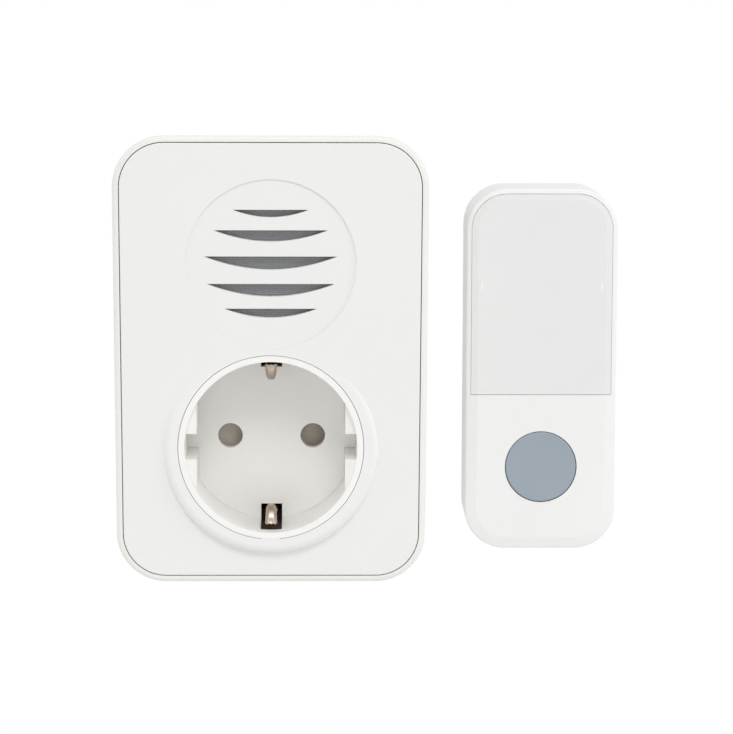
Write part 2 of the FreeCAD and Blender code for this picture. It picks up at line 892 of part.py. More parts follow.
def grille_slots():
    """The five openings as one set of prisms that run right through the cover."""
    made = doc.addObject("Sketcher::SketchObject", "Slots")
    place(made, ("0", "0", "0"), OUT_OF_WALL)
    for slot in range(1, 6):
        draw_lens(made, f"dish_height + slot_{slot}_rise", f"slot_{slot}_width")
    cutters = doc.addObject("Part::Extrusion", "SlotCutters")
    cutters.Base = made
    cutters.Dir = FreeCAD.Vector(0, -1, 0)
    cutters.Solid = True
    bind(cutters, LengthFwd="front_plane + 5", LengthRev="0")
    return cutters


def earth_windows(depth):
    """The two openings that let the earth strips through, between two depths."""
    return [
        deep_block(
            ("-window_width / 2", "window_width / 2"),
            depth,
            sorted_span(side, "window_start", "insert_radius + 0.05"),
        )
        for side in (-1, 1)
    ]


def key_segments(inner, depth, notch):
    """Four blocks beside the side notches, from the flats outwards, between two depths."""
    return [
        deep_block(side_span(side, inner, "socket_radius + 1"), depth, z)
        for side in (-1, 1)
        for z in ((notch, "socket_radius"), ("-socket_radius", minus(notch)))
    ]


def make_socket_insert():
    """The socket's ring with its two side keys; it stands on the flange of the socket's floor."""
    back = "(flange_front + snug_fit)"
    tube = turned([
        ("socket_radius", back),
        ("insert_radius", back),
        ("insert_radius", "collar_depth"),
        ("socket_radius", "collar_depth"),
    ])
    ledge = (back, "collar_depth - ledge_drop")
    well = disc("0", "0", "socket_radius + ring_width / 2", ledge)
    adds = [tube]
    for segment in key_segments("flat_reach", ledge, "notch_width / 2"):
        adds.append(shared(well, segment))
    key = ("collar_depth - collar_length", "collar_depth")
    adds.append(shared(
        disc("0", "0", "bore_radius - snug_fit", key),
        deep_block(
            ("-rim_key_width / 2", "rim_key_width / 2"),
            key,
            ("-bore_radius", "-socket_radius - ring_width / 2"),
        ),
    ))
    cuts = earth_windows(("floor_back", "collar_depth - window_stop"))
    node(less(joined(*adds), *cuts), "socket_insert")


def make_socket_floor():
    """The socket's floor: a flange, a step that fills the ring, two pin holes and a pivot post."""
    step = turned([
        ("0", "floor_back"),
        ("collar_back_radius", "floor_back"),
        ("collar_back_radius", "flange_front"),
        ("socket_radius - snug_fit", "flange_front"),
        ("socket_radius - snug_fit", "floor_depth"),
        ("0", "floor_depth"),
    ])
    post = disc("0", "0", "pivot_radius", ("floor_back - pivot_length", "floor_depth"))
    cuts = earth_windows(("floor_back - 1", "floor_depth + 1"))
    over_flange = ("flange_front", "floor_depth + 1")
    cuts += key_segments("flat_reach - snug_fit", over_flange, "notch_width / 2 - snug_fit")
    for side in (-1, 1):
        hole = ("floor_back - 1", "floor_depth + 1")
        cuts.append(disc(f"{side} * pin_spacing / 2", "0", "hole_radius", hole))
    node(less(joined(step, post), *cuts), "socket_floor")


def sorted_span(side, low, high):
    """A span along Z above the axis, or mirrored below it."""
    return (low, high) if side > 0 else (minus(high), minus(low))


def make_plug_body():
    """The round plug boss: flat sides with a rib each, and a groove above and below for earth."""
    body = new_body()
    base = new_sketch(body, "XZ_Plane", "-boss_length")
    draw_circle(base, "0", "0", "boss_radius")
    pad(body, base, "boss_length + boss_inner")
    length = number("boss_length")

    def tip_edge(edge):
        return all(abs(v.Point.y - length) < SAME for v in edge.Vertexes)

    round_edges(body, tip_edge, "boss_chamfer")
    flats = new_sketch(body, "XZ_Plane", "-boss_length")
    for side in (-1, 1):
        across = side_span(side, "boss_flat", "boss_radius + 1")
        draw_box(flats, *across, "boss_rib_width / 2", "boss_radius")
        draw_box(flats, *across, "-boss_radius", "-boss_rib_width / 2")
        tip = side_span(side, "boss_rib_reach", "boss_radius + 2")
        draw_box(flats, tip[0], tip[1], "-boss_rib_width / 4", "boss_rib_width / 4")
    pocket(body, flats, "boss_length", along=True)
    grooves = new_sketch(body, "XZ_Plane", "-boss_length")
    for side in (-1, 1):
        rise = sorted_span(side, "groove_floor", "boss_radius + 1")
        draw_box(grooves, "-groove_width / 2", "groove_width / 2", *rise)
        draw_circle(grooves, f"{side} * pin_spacing / 2", "0", "pin_shank + snug_fit")
    pocket(body, grooves, "boss_length + boss_inner + 1", along=True)
    flange = less(
        disc("0", "0", "boss_flange_radius", ("back_wall", "boss_inner")),
        disc("0", "0", "boss_radius - 1", ("0", "boss_inner + 1")),
        deep_block(
            ("-groove_width / 2", "groove_width / 2"),
            ("0", "boss_inner + 1"),
            ("groove_floor", "earth_radius + earth_strip + part_gap"),
        ),
        deep_block(
            ("-groove_width / 2", "groove_width / 2"),
            ("0", "boss_inner + 1"),
            ("-earth_radius - earth_strip - part_gap", "-groove_floor"),
        ),
    )
    node(joined(body, flange), "plug_body")


def make_pins_and_sleeves():
    for word, side in (("left", -1), ("right", 1)):
        x = f"{side} * pin_spacing / 2"
        root = "(boss_inner + 0.5)"
        pin = turned([
            ("0", minus(root)),
            ("pin_shank", minus(root)),
            ("pin_shank", "boss_length"),
            ("pin_radius", "boss_length"),
            ("pin_radius", "boss_length + pin_length"),
            ("0", "boss_length + pin_length"),
        ], (x, "0", "0"), INTO_WALL)
        tip = number("boss_length + pin_length")

        def tip_edge(edge, tip=tip):
            spot = edge.valueAt(edge.FirstParameter)
            return abs(spot.z - tip) < SAME and len(edge.Vertexes) == 1

        round_edges(pin, tip_edge, "pin_round")
        node(pin, f"plug_pin_{word}")
        mouth = "(shutter_back - part_gap * 2)"
        tube = turned([
            ("0", root),
            ("sleeve_radius", root),
            ("sleeve_radius", mouth),
            ("sleeve_bore", mouth),
            ("sleeve_bore", f"{root} + sleeve_base"),
            ("0", f"{root} + sleeve_base"),
        ], (x, "0", "0"))
        slit = deep_block(
            (f"{x} - sleeve_radius - 1", f"{x} + sleeve_radius + 1"),
            (f"{root} + sleeve_base + 3", f"{mouth} + 1"),
            ("-sleeve_slit / 2", "sleeve_slit / 2"),
        )
        node(less(tube, slit), f"contact_sleeve_{word}")


def make_earth():
    """Two spring strips, each from the plug's groove to a clip in the socket, and their bridge."""
    joint = "(floor_back - 1)"
    nose = "(collar_depth - clip_nose_drop)"
    mouth = "(collar_depth - clip_mouth_drop)"
    for word, side in (("top", 1), ("bottom", -1)):
        body = new_body()
        back = [
            ("earth_back_length", "earth_radius - earth_back_bow"),
            ("earth_back_length / 2", "earth_radius + earth_back_bow"),
            ("0", "earth_radius"),
            (minus(joint), "earth_radius"),
        ]
        front = [
            (minus(joint), "earth_radius"),
            (minus("floor_depth"), "earth_radius"),
            (minus(nose), "clip_reach"),
            (minus(mouth), "clip_mouth_radius - earth_strip"),
        ]
        for spots, width in ((back, "earth_back_width"), (front, "earth_front_width")):
            inner = [(y, f"{side} * ({z})") for y, z in spots]
            outer = [(y, f"{side} * ({z} + earth_strip)") for y, z in reversed(spots)]
            made = new_sketch(body, "YZ_Plane")
            draw_polygon(made, inner + outer)
            pad(body, made, width, both_ways=True)
        node(body, f"earth_strip_{word}")
    bridge = deep_block(
        ("-earth_back_width / 2", "earth_back_width / 2"),
        ("boss_inner", "boss_inner + earth_strip"),
        ("-earth_radius", "earth_radius"),
    )
    node(bridge, "earth_bridge")


def make_shutter():
    """A round shutter on a post behind the floor; its windows are one swing away from the holes."""
    body = new_body()
    base = new_sketch(body, "XZ_Plane", "shutter_back")
    draw_circle(base, "0", "0", "shutter_radius")
    draw_circle(base, "0", "0", "pivot_radius + running_fit")
    for side in (-1, 1):
        draw_circle(
            base,
            f"{side} * pin_spacing / 2 * cos(shutter_swing)",
            f"{side} * pin_spacing / 2 * sin(shutter_swing)",
            "shutter_window",
        )
    pad(body, base, "shutter_wall")
    node(body, "shutter")
    washer_front = "(shutter_back - part_gap)"
    washer = less(
        disc("0", "0", "washer_radius", (f"{washer_front} - washer_wall", washer_front)),
        disc("0", "0", "pivot_radius + snug_fit", (f"{washer_front} - 2", f"{washer_front} + 1")),
    )
    node(washer, "shutter_washer")
    depth = f"({washer_front} - washer_wall - spring_wire - snug_fit)"
    loop = "(pivot_radius + spring_wire + part_gap)"
    spring = wire([
        (f"-{loop}", depth, "-spring_leg"),
        (f"-{loop}", depth, loop),
        (loop, depth, loop),
        (loop, depth, "-spring_leg"),
    ], "spring_wire")
    node(spring, "shutter_spring")


def make_speaker():
    """A round loudspeaker that lies against the back of the leaning grille."""
    def along(text):
        return minus(f"cover_wall + cloth_wall + ({text})")

    cloth = turned([
        ("0", minus("cover_wall + cloth_wall")),
        ("speaker_radius", minus("cover_wall + cloth_wall")),
        ("speaker_radius", minus("cover_wall + snug_fit")),
        ("0", minus("cover_wall + snug_fit")),
    ], DISH, turn_by=FACE_TURN)
    node(cloth, "speaker_cloth")
    neck = "(magnet_radius - 1)"
    inner = "(speaker_radius - speaker_lip)"
    seat = "(speaker_depth - magnet_length)"
    frame = turned([
        ("speaker_radius", along("snug_fit")),
        ("speaker_radius", along("1")),
        (inner, along("1.6")),
        ("magnet_radius", along(seat)),
        ("coil_radius + 1", along(seat)),
        ("coil_radius + 1", along(f"{seat} - 0.6")),
        (neck, along(f"{seat} - 0.6")),
        (f"{inner} - 0.6", along("1.0")),
        (f"{inner}", along("snug_fit")),
    ], DISH, turn_by=FACE_TURN)
    node(frame, "speaker_frame")
    rim = f"({inner} - 0.95)"
    throat = "(dust_cap_radius - 0.2)"
    cone = turned([
        ("0", along("1.1")),
        ("dust_cap_radius / 2", along("1.2")),
        (throat, along("1.8")),
        (rim, along("0.85 - cone_wall")),
        (rim, along("0.85")),
        ("coil_radius", along("1.8 + cone_wall")),
        ("coil_radius", along(f"{seat} + 0.6")),
        ("coil_radius - cone_wall", along(f"{seat} + 0.6")),
        ("coil_radius - cone_wall", along("1.8 + cone_wall")),
        ("0", along("1.1 + cone_wall")),
    ], DISH, turn_by=FACE_TURN)
    node(cone, "speaker_cone")
    pole = "(coil_radius - cone_wall - part_gap)"
    moat = "(coil_radius + part_gap)"
    magnet = turned([
        ("0", along("speaker_depth")),
        ("magnet_radius", along("speaker_depth")),
        ("magnet_radius", along(f"{seat} + snug_fit")),
        (moat, along(f"{seat} + snug_fit")),
        (moat, along("speaker_depth - 1")),
        (pole, along("speaker_depth - 1")),
        (pole, along(f"{seat} + snug_fit")),
        ("0", along(f"{seat} + snug_fit")),
    ], DISH, turn_by=FACE_TURN)
    node(magnet, "speaker_magnet")


def make_main_board():
    board = deep_block(
        ("-board_half", "board_half"), ("board_depth", "board_front"), ("board_low", "board_high")
    )
    holes = []
    screws = []
    for x, z in board_screw_places():
        through = ("board_depth - 1", "board_front + 1")
        holes.append(disc(x, z, "small_screw_radius + part_gap", through))
        head = "(board_front + small_screw_head * 0.6)"
        tail = "(board_front - small_screw_length)"
        body = joined(
            disc(x, z, "small_screw_head", ("board_front", head)),
            disc(x, z, "small_screw_radius", (tail, head)),
        )
        arm, slit = "small_screw_head * 0.6", "small_screw_head * 0.15"
        cross = (f"{head} - 0.5", f"{head} + 1")
        screws.append(less(
            body,
            deep_block((f"{x} - {arm}", f"{x} + {arm}"), cross, (f"{z} - {slit}", f"{z} + {slit}")),
            deep_block((f"{x} - {slit}", f"{x} + {slit}"), cross, (f"{z} - {arm}", f"{z} + {arm}")),
        ))
    node(less(board, *holes), "main_board")
    group("board_screws", screws)


def make_board_parts():
    on_board = "board_front"
    node(deep_block(
        ("film_cap_left", "film_cap_right"),
        (on_board, f"{on_board} + film_cap_length"),
        ("film_cap_low", "film_cap_low + film_cap_height"),
    ), "film_capacitor")
    can = disc(
        "can_from_side - board_half", "board_high - can_below",
        "can_radius", (on_board, f"{on_board} + can_length"),
    )
    node(can, "smoothing_capacitor")
    fuse = level_disc(
        f"{on_board} + fuse_radius", "board_low + fuse_above",
        "fuse_radius", ("fuse_left", "fuse_left + fuse_length"),
    )
    node(fuse, "fusible_resistor")
    diodes = [
        upright_disc(
            f"film_cap_right + diode_gap + {place_no} * diode_pitch",
            f"{on_board} + diode_radius",
            "diode_radius",
            ("diode_low", "diode_low + diode_length"),
        )
        for place_no in range(4)
    ]
    group("rectifier_diodes", diodes)
    chips = [
        deep_block(
            (left, f"{left} + {length}"),
            (on_board, f"{on_board} + chip_wall"),
            ("chip_low", "chip_low + chip_width"),
        )
        for left, length in (("chip_left", "chip_length"), ("memory_left", "memory_length"))
    ]
    group("chime_chips", chips)
    chip_back = f"({on_board} + radio_chip_lift)"
    radio = joined(
        deep_block(
            ("radio_left", "radio_left + radio_width"),
            (on_board, f"{on_board} + radio_length"),
            ("radio_low", "radio_low + radio_wall"),
        ),
        deep_block(
            ("radio_chip_left", "radio_chip_left + memory_length"),
            (chip_back, f"{chip_back} + radio_chip_width"),
            ("radio_low - chip_wall", "radio_low"),
        ),
    )
    node(radio, "radio_module")
    tip = f"({on_board} + radio_length - 2)"
    aerial = wire([
        ("aerial_x", tip, "radio_low + radio_wall"),
        ("aerial_x", tip, "board_high + aerial_rise"),
        ("aerial_bend - board_half", tip, "board_high + aerial_rise + 2"),
        ("aerial_end - board_half", f"{on_board} + 4", "board_high + aerial_rise - 3"),
    ], "aerial_wire")
    node(aerial, "aerial")


def make_leads():
    leads = []
    for side in (-1, 1):
        x = f"{side} * pin_spacing / 2"
        leads.append(wire([
            (x, "boss_inner + 6", "sleeve_radius + 0.05"),
            (x, "boss_inner + 6", "sleeve_radius + 4"),
            (x, "lead_turn_depth", "sleeve_radius + 9"),
            (x, "lead_turn_depth", "board_low + lead_board_rise"),
            (x, "board_front + 0.05", "board_low + lead_board_rise"),
        ], "mains_wire"))
    group("mains_leads", leads)
    leads = []
    height = "(dish_height + speaker_radius - 1)"
    back = f"({face_depth(height)} - cover_wall - cloth_wall - 1.5)"
    for x in ("-2", "1"):
        leads.append(wire([
            (x, back, height),
            (x, f"({back} + board_front) / 2", height),
            (x, "board_front + 8", "board_high - 2"),
            (x, "board_front + 0.05", "board_high - 2"),
        ], "signal_wire"))
    group("speaker_leads", leads)


def make_side_buttons():
    """A cap in each side wall, its lip inside the wall, and the switch that it pushes."""
    outside = f"({side_wall('button_depth + button_wide / 2')} - part_gap)"
    inside = f"({side_wall('button_depth - button_wide / 2 - 1')} - rim_wall - part_gap)"
    stem_end = "(switch_reach + button_travel + 0.4)"
    for word, job, side in BUTTON_SIDES:
        cap = deep_block(
            side_span(side, f"{inside} - button_lip", outside),
            ("button_depth - button_wide / 2", "button_depth + button_wide / 2"),
            ("button_height - button_tall / 2", "button_height + button_tall / 2"),
        )
        lip = deep_block(
            side_span(side, f"{inside} - button_lip", inside),
            ("button_depth - button_wide / 2 - 1", "button_depth + button_wide / 2 + 1"),
            ("button_height - button_tall / 2 - 1", "button_height + button_tall / 2 + 1"),
        )
        tail = level_disc(
            "button_depth",
            "button_height",
            "switch_stem + 0.5",
            side_span(side, f"{stem_end} + tact_gap", inside),
        )
        node(joined(cap, lip, tail), f"{job}_button")
        case = deep_block(
            side_span(side, "switch_reach - switch_length", "switch_reach"),
            ("board_front", "board_front + switch_size"),
            ("button_height - switch_size / 2", "button_height + switch_size / 2"),
        )
        bore = level_disc(
            "button_depth",
            "button_height",
            "switch_stem + running_fit",
            side_span(side, "switch_reach - button_travel - 1.2", "switch_reach + 1"),
        )
        node(less(case, bore), f"{job}_switch")
        stem = level_disc(
            "button_depth",
            "button_height",
            "switch_stem",
            side_span(side, "switch_reach - 1", stem_end),
        )
        node(stem, f"{job}_switch_stem")


def make_case_screws():
    group("housing_screws", [
        screw(
            x, z, "screw_seat_depth", "case_screw_head", "case_screw_head * 0.7",
            "case_screw_radius", "case_screw_length",
        )
        for x, z in case_screw_places()
    ])


def draw_push_outline(made, inset, low=None):
    """The bell push's outline moved inwards; its lower side may lie higher up."""
    draw_rounded(
        made,
        f"-push_width / 2 + {inset}",
        f"push_width / 2 - ({inset})",
        low or f"-push_height / 2 + {inset}",
        f"push_height / 2 - ({inset})",
        f"push_corner - ({inset})",
    )


def push_blank():
    """The outside of the bell push: straight sides, a shallow bevel all round and a flat panel."""
    body = new_body(at_push())
    outline = new_sketch(body, "XZ_Plane", "push_lift")
    draw_push_outline(outline, "0")
    pad(body, outline, "push_depth - bevel_drop - push_lift")
    top = new_sketch(body, "XZ_Plane", "push_depth - bevel_drop")
    draw_push_outline(top, "0")
    pad(body, top, "bevel_drop", taper="-atan(bevel_width / bevel_drop)")
    level = number("push_depth - bevel_drop")

    def side_edge(edge):
        return all(abs(-v.Point.y - level) < SAME for v in edge.Vertexes)

    round_edges(body, side_edge, "push_edge_round")
    return body


def push_prism(inset, depth, low=None):
    """The bell push's outline, moved inwards, between two depths."""
    body = new_body(at_push())
    made = new_sketch(body, "XZ_Plane", depth[0])
    draw_push_outline(made, inset, low)
    pad(body, made, f"({depth[1]}) - ({depth[0]})")
    return body


def push_box(x, depth, z):
    return deep_block(push_span_x(*x), depth, push_span_z(*z))


def push_disc(x, z, radius, depth):
    return disc(f"push_x + ({x})", f"push_z + ({z})", radius, depth)


def push_upper(inset, depth, low):
    """The part of the outline above a level, with a square lower edge, between two depths."""
    wide = "push_width"
    return shared(
        push_prism(inset, depth),
        push_box((f"-{wide}", wide), depth, (low, "push_height")),
    )


def push_screw_places():
    return (
        ("-push_screw_x", "push_screw_z"),
        ("push_screw_x", "push_screw_z"),
        ("0", "push_screw_low"),
    )


def make_push_case(blank):
    cavity = push_prism("push_wall", ("0", "push_inner_high"))
    low_cavity = less(
        push_prism("push_wall", ("0", "push_inner_low")),
        push_box(
            ("-push_width", "push_width"),
            ("-1", "push_depth"),
            ("window_bottom - pocket_floor", "push_height"),
        ),
    )
    name_pocket = push_upper("window_inset", ("pocket_depth", "push_depth + 1"), "window_bottom")
    cuts = [cavity, low_cavity, name_pocket]
    cuts.append(push_disc("bell_x", "bell_z", "bell_radius + bell_gap", ("0", "push_depth + 1")))
    for side in (-1, 1):
        near = "catch_x - catch_wall / 2 - part_gap"
        far = "catch_x + catch_wall / 2 + part_gap"
        cuts.append(push_box(
            side_span(side, near, far),
            ("push_inner_high - 1", "pocket_depth + 1"),
            ("catch_z - catch_width / 2 - part_gap", "catch_z + catch_width / 2 + part_gap"),
        ))
    adds = [less(blank, *cuts)]
    pilots = []
    for x, z in push_screw_places():
        adds.append(push_disc(x, z, "boss_post_radius", ("push_board_front", "push_inner_low + 0.5")))
        hole = ("push_board_front - 1", "push_board_front + small_screw_length")
        pilots.append(push_disc(x, z, "small_screw_radius + snug_fit", hole))
    rib = "battery_radius + bay_gap + contact_wall + 0.3"
    for side in (-1, 1):
        adds.append(push_box(
            side_span(side, rib, f"{rib} + bay_wall"),
            ("push_board_depth", "push_inner_high + 0.5"),
            ("battery_base", "battery_top"),
        ))
    node(less(joined(*adds), *pilots), "push_case")


def make_name_window(blank):
    glass_back = "(pocket_depth + card_wall + part_gap)"
    pane = shared(blank, push_upper(
        "window_inset + window_gap",
        (glass_back, "push_depth + 1"),
        "window_bottom + window_gap",
    ))
    catches = [
        push_box(
            side_span(side, "catch_x - catch_wall / 2", "catch_x + catch_wall / 2"),
            (f"{glass_back} - catch_length", f"{glass_back} + 0.3"),
            ("catch_z - catch_width / 2", "catch_z + catch_width / 2"),
        )
        for side in (-1, 1)
    ]
    node(joined(pane, *catches), "name_window")
    body = new_body(at_push())
    made = new_sketch(body, "XZ_Plane", "pocket_depth + snug_fit")
    draw_rounded(
        made,
        "-card_half",
        "card_half",
        "window_bottom + card_margin / 2",
        "push_height / 2 - window_inset - card_margin / 3",
        "push_corner - card_margin - window_inset",
    )
    pad(body, made, "card_wall")
    node(body, "name_card")


def make_bell_button():
    lip_front = "(push_inner_low - tact_gap)"
    lip_back = f"({lip_front} - bell_lip_wall)"
    stem_tip = "(push_board_front + tact_length + bell_travel + 0.3)"
    hollow = "(bell_radius - bell_skirt)"
    skin = "(push_depth - bell_skin)"
    cap = turned([
        ("0", f"{stem_tip} + tact_gap"),
        ("bell_plunger", f"{stem_tip} + tact_gap"),
        ("bell_plunger", skin),
        (hollow, skin),
        (hollow, lip_back),
        ("bell_radius + bell_lip", lip_back),
        ("bell_radius + bell_lip", lip_front),
        ("bell_radius", lip_front),
        ("bell_radius", "push_depth"),
        ("0", "push_depth"),
    ], at_push("bell_x", "0", "bell_z"))
    rim, level = number("bell_radius"), number("push_depth")

    def front_edge(edge):
        spot = edge.valueAt(edge.FirstParameter)
        return abs(math.hypot(spot.x, spot.y) - rim) < SAME and abs(spot.z - level) < SAME

    round_edges(cap, front_edge, "bell_edge_round")
    node(cap, "bell_button")
    half = "tact_size / 2"
    case = push_box(
        (f"bell_x - {half}", f"bell_x + {half}"),
        ("push_board_front", "push_board_front + tact_length"),
        (f"bell_z - {half}", f"bell_z + {half}"),
    )
    well = ("push_board_front + tact_length - bell_travel - 1.4", "push_depth")
    bore = push_disc("bell_x", "bell_z", "tact_stem + running_fit", well)
    node(less(case, bore), "bell_switch")
    stem = ("push_board_front + tact_length - 1", stem_tip)
    node(push_disc("bell_x", "bell_z", "tact_stem", stem), "bell_switch_stem")


def make_push_board():
    body = new_body(at_push())
    made = new_sketch(body, "XZ_Plane", "push_board_depth")
    draw_rounded(
        made,
        "-push_board_half",
        "push_board_half",
        "push_board_low",
        "push_board_high",
        "push_board_corner",
    )
    for x, z in push_screw_places():
        draw_circle(made, x, z, "small_screw_radius + part_gap")
    pad(body, made, "push_board_wall")
    node(body, "push_board")
    screws = []
    for x, z in push_screw_places():
        back = "(push_board_depth - small_screw_head * 0.6)"
        pin = joined(
            push_disc(x, z, "small_screw_head", (back, "push_board_depth")),
            push_disc(x, z, "small_screw_radius", (back, f"{back} + small_screw_length")),
        )
        arm, slit = "small_screw_head * 0.6", "small_screw_head * 0.15"
        cross = (f"{back} - 1", f"{back} + 0.5")
        screws.append(less(
            pin,
            push_box((f"{x} - {arm}", f"{x} + {arm}"), cross, (f"{z} - {slit}", f"{z} + {slit}")),
            push_box((f"{x} - {slit}", f"{x} + {slit}"), cross, (f"{z} - {arm}", f"{z} + {arm}")),
        ))
    group("push_board_screws", screws)
    front = "push_board_front"
    chip = push_box(
        ("-memory_length - 2", "-2"),
        (front, f"{front} + chip_wall"),
        ("push_board_high - 5 - chip_width", "push_board_high - 5"),
    )
    node(chip, "push_chip")
    can = push_disc("4.5", "push_board_high - 11", "2.4", (front, f"{front} + 3"))
    node(can, "push_resonator")
    loop_depth = f"{front} + aerial_wire"
    edge = "(push_board_half - 1.5)"
    lower = "(push_board_low + 12)"
    loop = wire([
        (f"push_x - {edge}", loop_depth, "push_z - 14"),
        (f"push_x - {edge}", loop_depth, f"push_z + {lower}"),
        (f"push_x - {edge} + 5", loop_depth, f"push_z + {lower} - 4.5"),
        (f"push_x + {edge} - 5", loop_depth, f"push_z + {lower} - 4.5"),
        (f"push_x + {edge}", loop_depth, f"push_z + {lower}"),
        (f"push_x + {edge}", loop_depth, "push_z - 14"),
    ], "aerial_wire")
    node(loop, "push_aerial")


def make_battery():
    shoulder = "(battery_top - battery_cap_wall)"
    cell = joined(
        upright_disc(
            "push_x", "battery_depth", "battery_radius",
            ("push_z + battery_base", f"push_z + {shoulder}"),
        ),
        upright_disc(
            "push_x", "battery_depth", "battery_cap_radius",
            ("push_z + battery_base", "push_z + battery_top"),
        ),
    )
    node(cell, "battery")
    front = "push_board_front"
    plate = (front, "battery_depth + contact_half")
    wide = ("-contact_half", "contact_half")
    low = "(battery_base - contact_gap - dimple_reach)"
    minus_end = joined(
        push_box(wide, plate, (f"{low} - contact_wall", low)),
        push_box(wide, (front, f"{front} + contact_wall"), ("push_board_high - 3", low)),
        upright_disc(
            "push_x", "battery_depth", "dimple_radius",
            (f"push_z + {low} - contact_wall", f"push_z + {low} + dimple_reach"),
        ),
    )
    node(minus_end, "battery_contact_minus")
    high = "(battery_top + contact_gap + dimple_reach)"
    side = "(battery_radius + bay_gap)"
    plus_end = joined(
        push_box(("-contact_half", f"{side} + contact_wall"), plate, (high, f"{high} + contact_wall")),
        push_box(
            (side, f"{side} + contact_wall"),
            (front, f"{front} + 3"),
            ("push_board_high - 3", f"{high} + contact_wall"),
        ),
        upright_disc(
            "push_x", "battery_depth", "dimple_radius",
            (f"push_z + {high} - dimple_reach", f"push_z + {high} + contact_wall"),
        ),
    )
    node(plus_end, "battery_contact_plus")


def make_wall_plate():
    """The plate that is screwed or stuck to the wall; the push hangs on its two hooks."""
    body = new_body(at_push())
    made = new_sketch(body, "XZ_Plane")
    draw_rounded(
        made,
        "-plate_half",
        "plate_half",
        "-plate_half_height",
        "plate_half_height",
        "plate_corner",
    )
    for side in ("-", ""):
        draw_circle(made, "0", f"{side}plate_screw_spacing / 2", "plate_screw_radius")
    pad(body, made, "plate_wall")
    sinks = new_sketch(body, "XZ_Plane", "plate_wall")
    for side in ("-", ""):
        draw_circle(sinks, "0", f"{side}plate_screw_spacing / 2", "plate_screw_head")
    pocket(body, sinks, "plate_wall / 2")
    recess = new_sketch(body, "XZ_Plane")
    for side in ("-", ""):
        middle = f"{side}pad_height * 0.6"
        draw_box(
            recess,
            "-pad_half - part_gap",
            "pad_half + part_gap",
            f"{middle} - pad_height / 2 - part_gap",
            f"{middle} + pad_height / 2 + part_gap",
        )
    pocket(body, recess, "pad_wall", along=True)
    hook_top = "(push_height / 2 - push_wall - part_gap)"
    hooks = [
        push_box(
            ("-hook_half", "hook_half"),
            ("plate_wall / 2", "plate_wall + hook_length"),
            sorted_span(side, f"{hook_top} - hook_wall - 1", hook_top),
        )
        for side in (-1, 1)
    ]
    node(joined(body, *hooks), "push_wall_plate")
    group("wall_pads", [
        push_box(
            ("-pad_half", "pad_half"),
            ("0", "pad_wall - snug_fit"),
            (f"{side} * pad_height * 0.6 - pad_height / 2",
             f"{side} * pad_height * 0.6 + pad_height / 2"),
        )
        for side in (-1, 1)
    ])


def write_parts():
    """Checks every object of the document, then writes one file for each piece."""
    doc.recompute()
    for thing in doc.Objects:
        if "Invalid" in thing.State or "Error" in thing.State:
            raise RuntimeError(f"{thing.Label} failed: {thing.State}")
    for piece in NODES:
        if piece.Shape.isNull() or not piece.Shape.isValid() or not piece.Shape.Solids:
            raise RuntimeError(f"{piece.Label} has no sound solid")
    os.makedirs("parts", exist_ok=True)
    for piece in NODES:
        piece.Shape.exportStep(f"parts/{piece.Label}.step")
        print(f"{piece.Label}: {len(piece.Shape.Solids)} solid, {piece.Shape.Volume:.1f} mm3")


make_rear_housing()
make_front_cover()
make_socket_insert()
make_socket_floor()
make_plug_body()
make_pins_and_sleeves()
make_earth()
make_shutter()
make_speaker()
make_main_board()
make_board_parts()
make_leads()
make_side_buttons()
make_case_screws()
shell_of_push = push_blank()
make_push_case(shell_of_push)
make_name_window(shell_of_push)
make_bell_button()
make_push_board()
make_battery()
make_wall_plate()
write_parts()
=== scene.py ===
import json
import math

import bmesh
import bpy
import numpy as np
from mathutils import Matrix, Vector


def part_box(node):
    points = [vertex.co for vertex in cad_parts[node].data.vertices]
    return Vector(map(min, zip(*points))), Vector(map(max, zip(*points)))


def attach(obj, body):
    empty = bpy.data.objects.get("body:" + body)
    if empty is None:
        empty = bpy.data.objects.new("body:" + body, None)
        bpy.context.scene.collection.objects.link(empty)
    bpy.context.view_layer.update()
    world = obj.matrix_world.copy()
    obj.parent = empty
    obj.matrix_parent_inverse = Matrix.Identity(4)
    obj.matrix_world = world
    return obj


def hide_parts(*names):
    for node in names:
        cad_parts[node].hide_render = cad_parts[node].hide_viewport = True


# A wireless doorbell seen as in the photograph: the plug-in chime with its socket on the left, the
# battery bell push on the right. The frame has its origin where the socket's axis meets the wall,
# +Z up and -Y out of the wall; a depth is how far out of the wall a point lies. Lengths are
# millimetres until MM turns them to metres. The lamps alone are placed in metres.

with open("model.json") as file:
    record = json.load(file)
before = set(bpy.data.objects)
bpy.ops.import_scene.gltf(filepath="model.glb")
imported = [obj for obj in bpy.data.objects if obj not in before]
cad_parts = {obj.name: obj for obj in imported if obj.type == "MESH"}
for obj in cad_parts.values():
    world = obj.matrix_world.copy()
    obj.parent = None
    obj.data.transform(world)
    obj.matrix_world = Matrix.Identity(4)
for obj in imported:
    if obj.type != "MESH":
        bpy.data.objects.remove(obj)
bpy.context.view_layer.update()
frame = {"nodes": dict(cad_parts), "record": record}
cad = frame["nodes"]

scene = bpy.context.scene
scene.view_settings.view_transform = "Standard"

MM = 0.001
# Points that lie nearer than this are one point.
WELD = 1e-4 * MM
CHIME = "chime_and_wall_plate"
PUSH = "bell_push"
TOP_AND_BOTTOM = (("top", 1), ("bottom", -1))
# The chime's face and what lies behind it lean by this many degrees.
FACE_LEAN = 3.0
FLOOR_CENTRE = 25.0
FLOOR_LEVEL = -165.0
# The axes of a piece that is turned round a line straight up.
UPWARD = np.eye(3)
# The colour sockets of a Mix node, whose other kinds of socket have the same names.
MIX_FIRST, MIX_SECOND, MIX_RESULT = 6, 7, 2


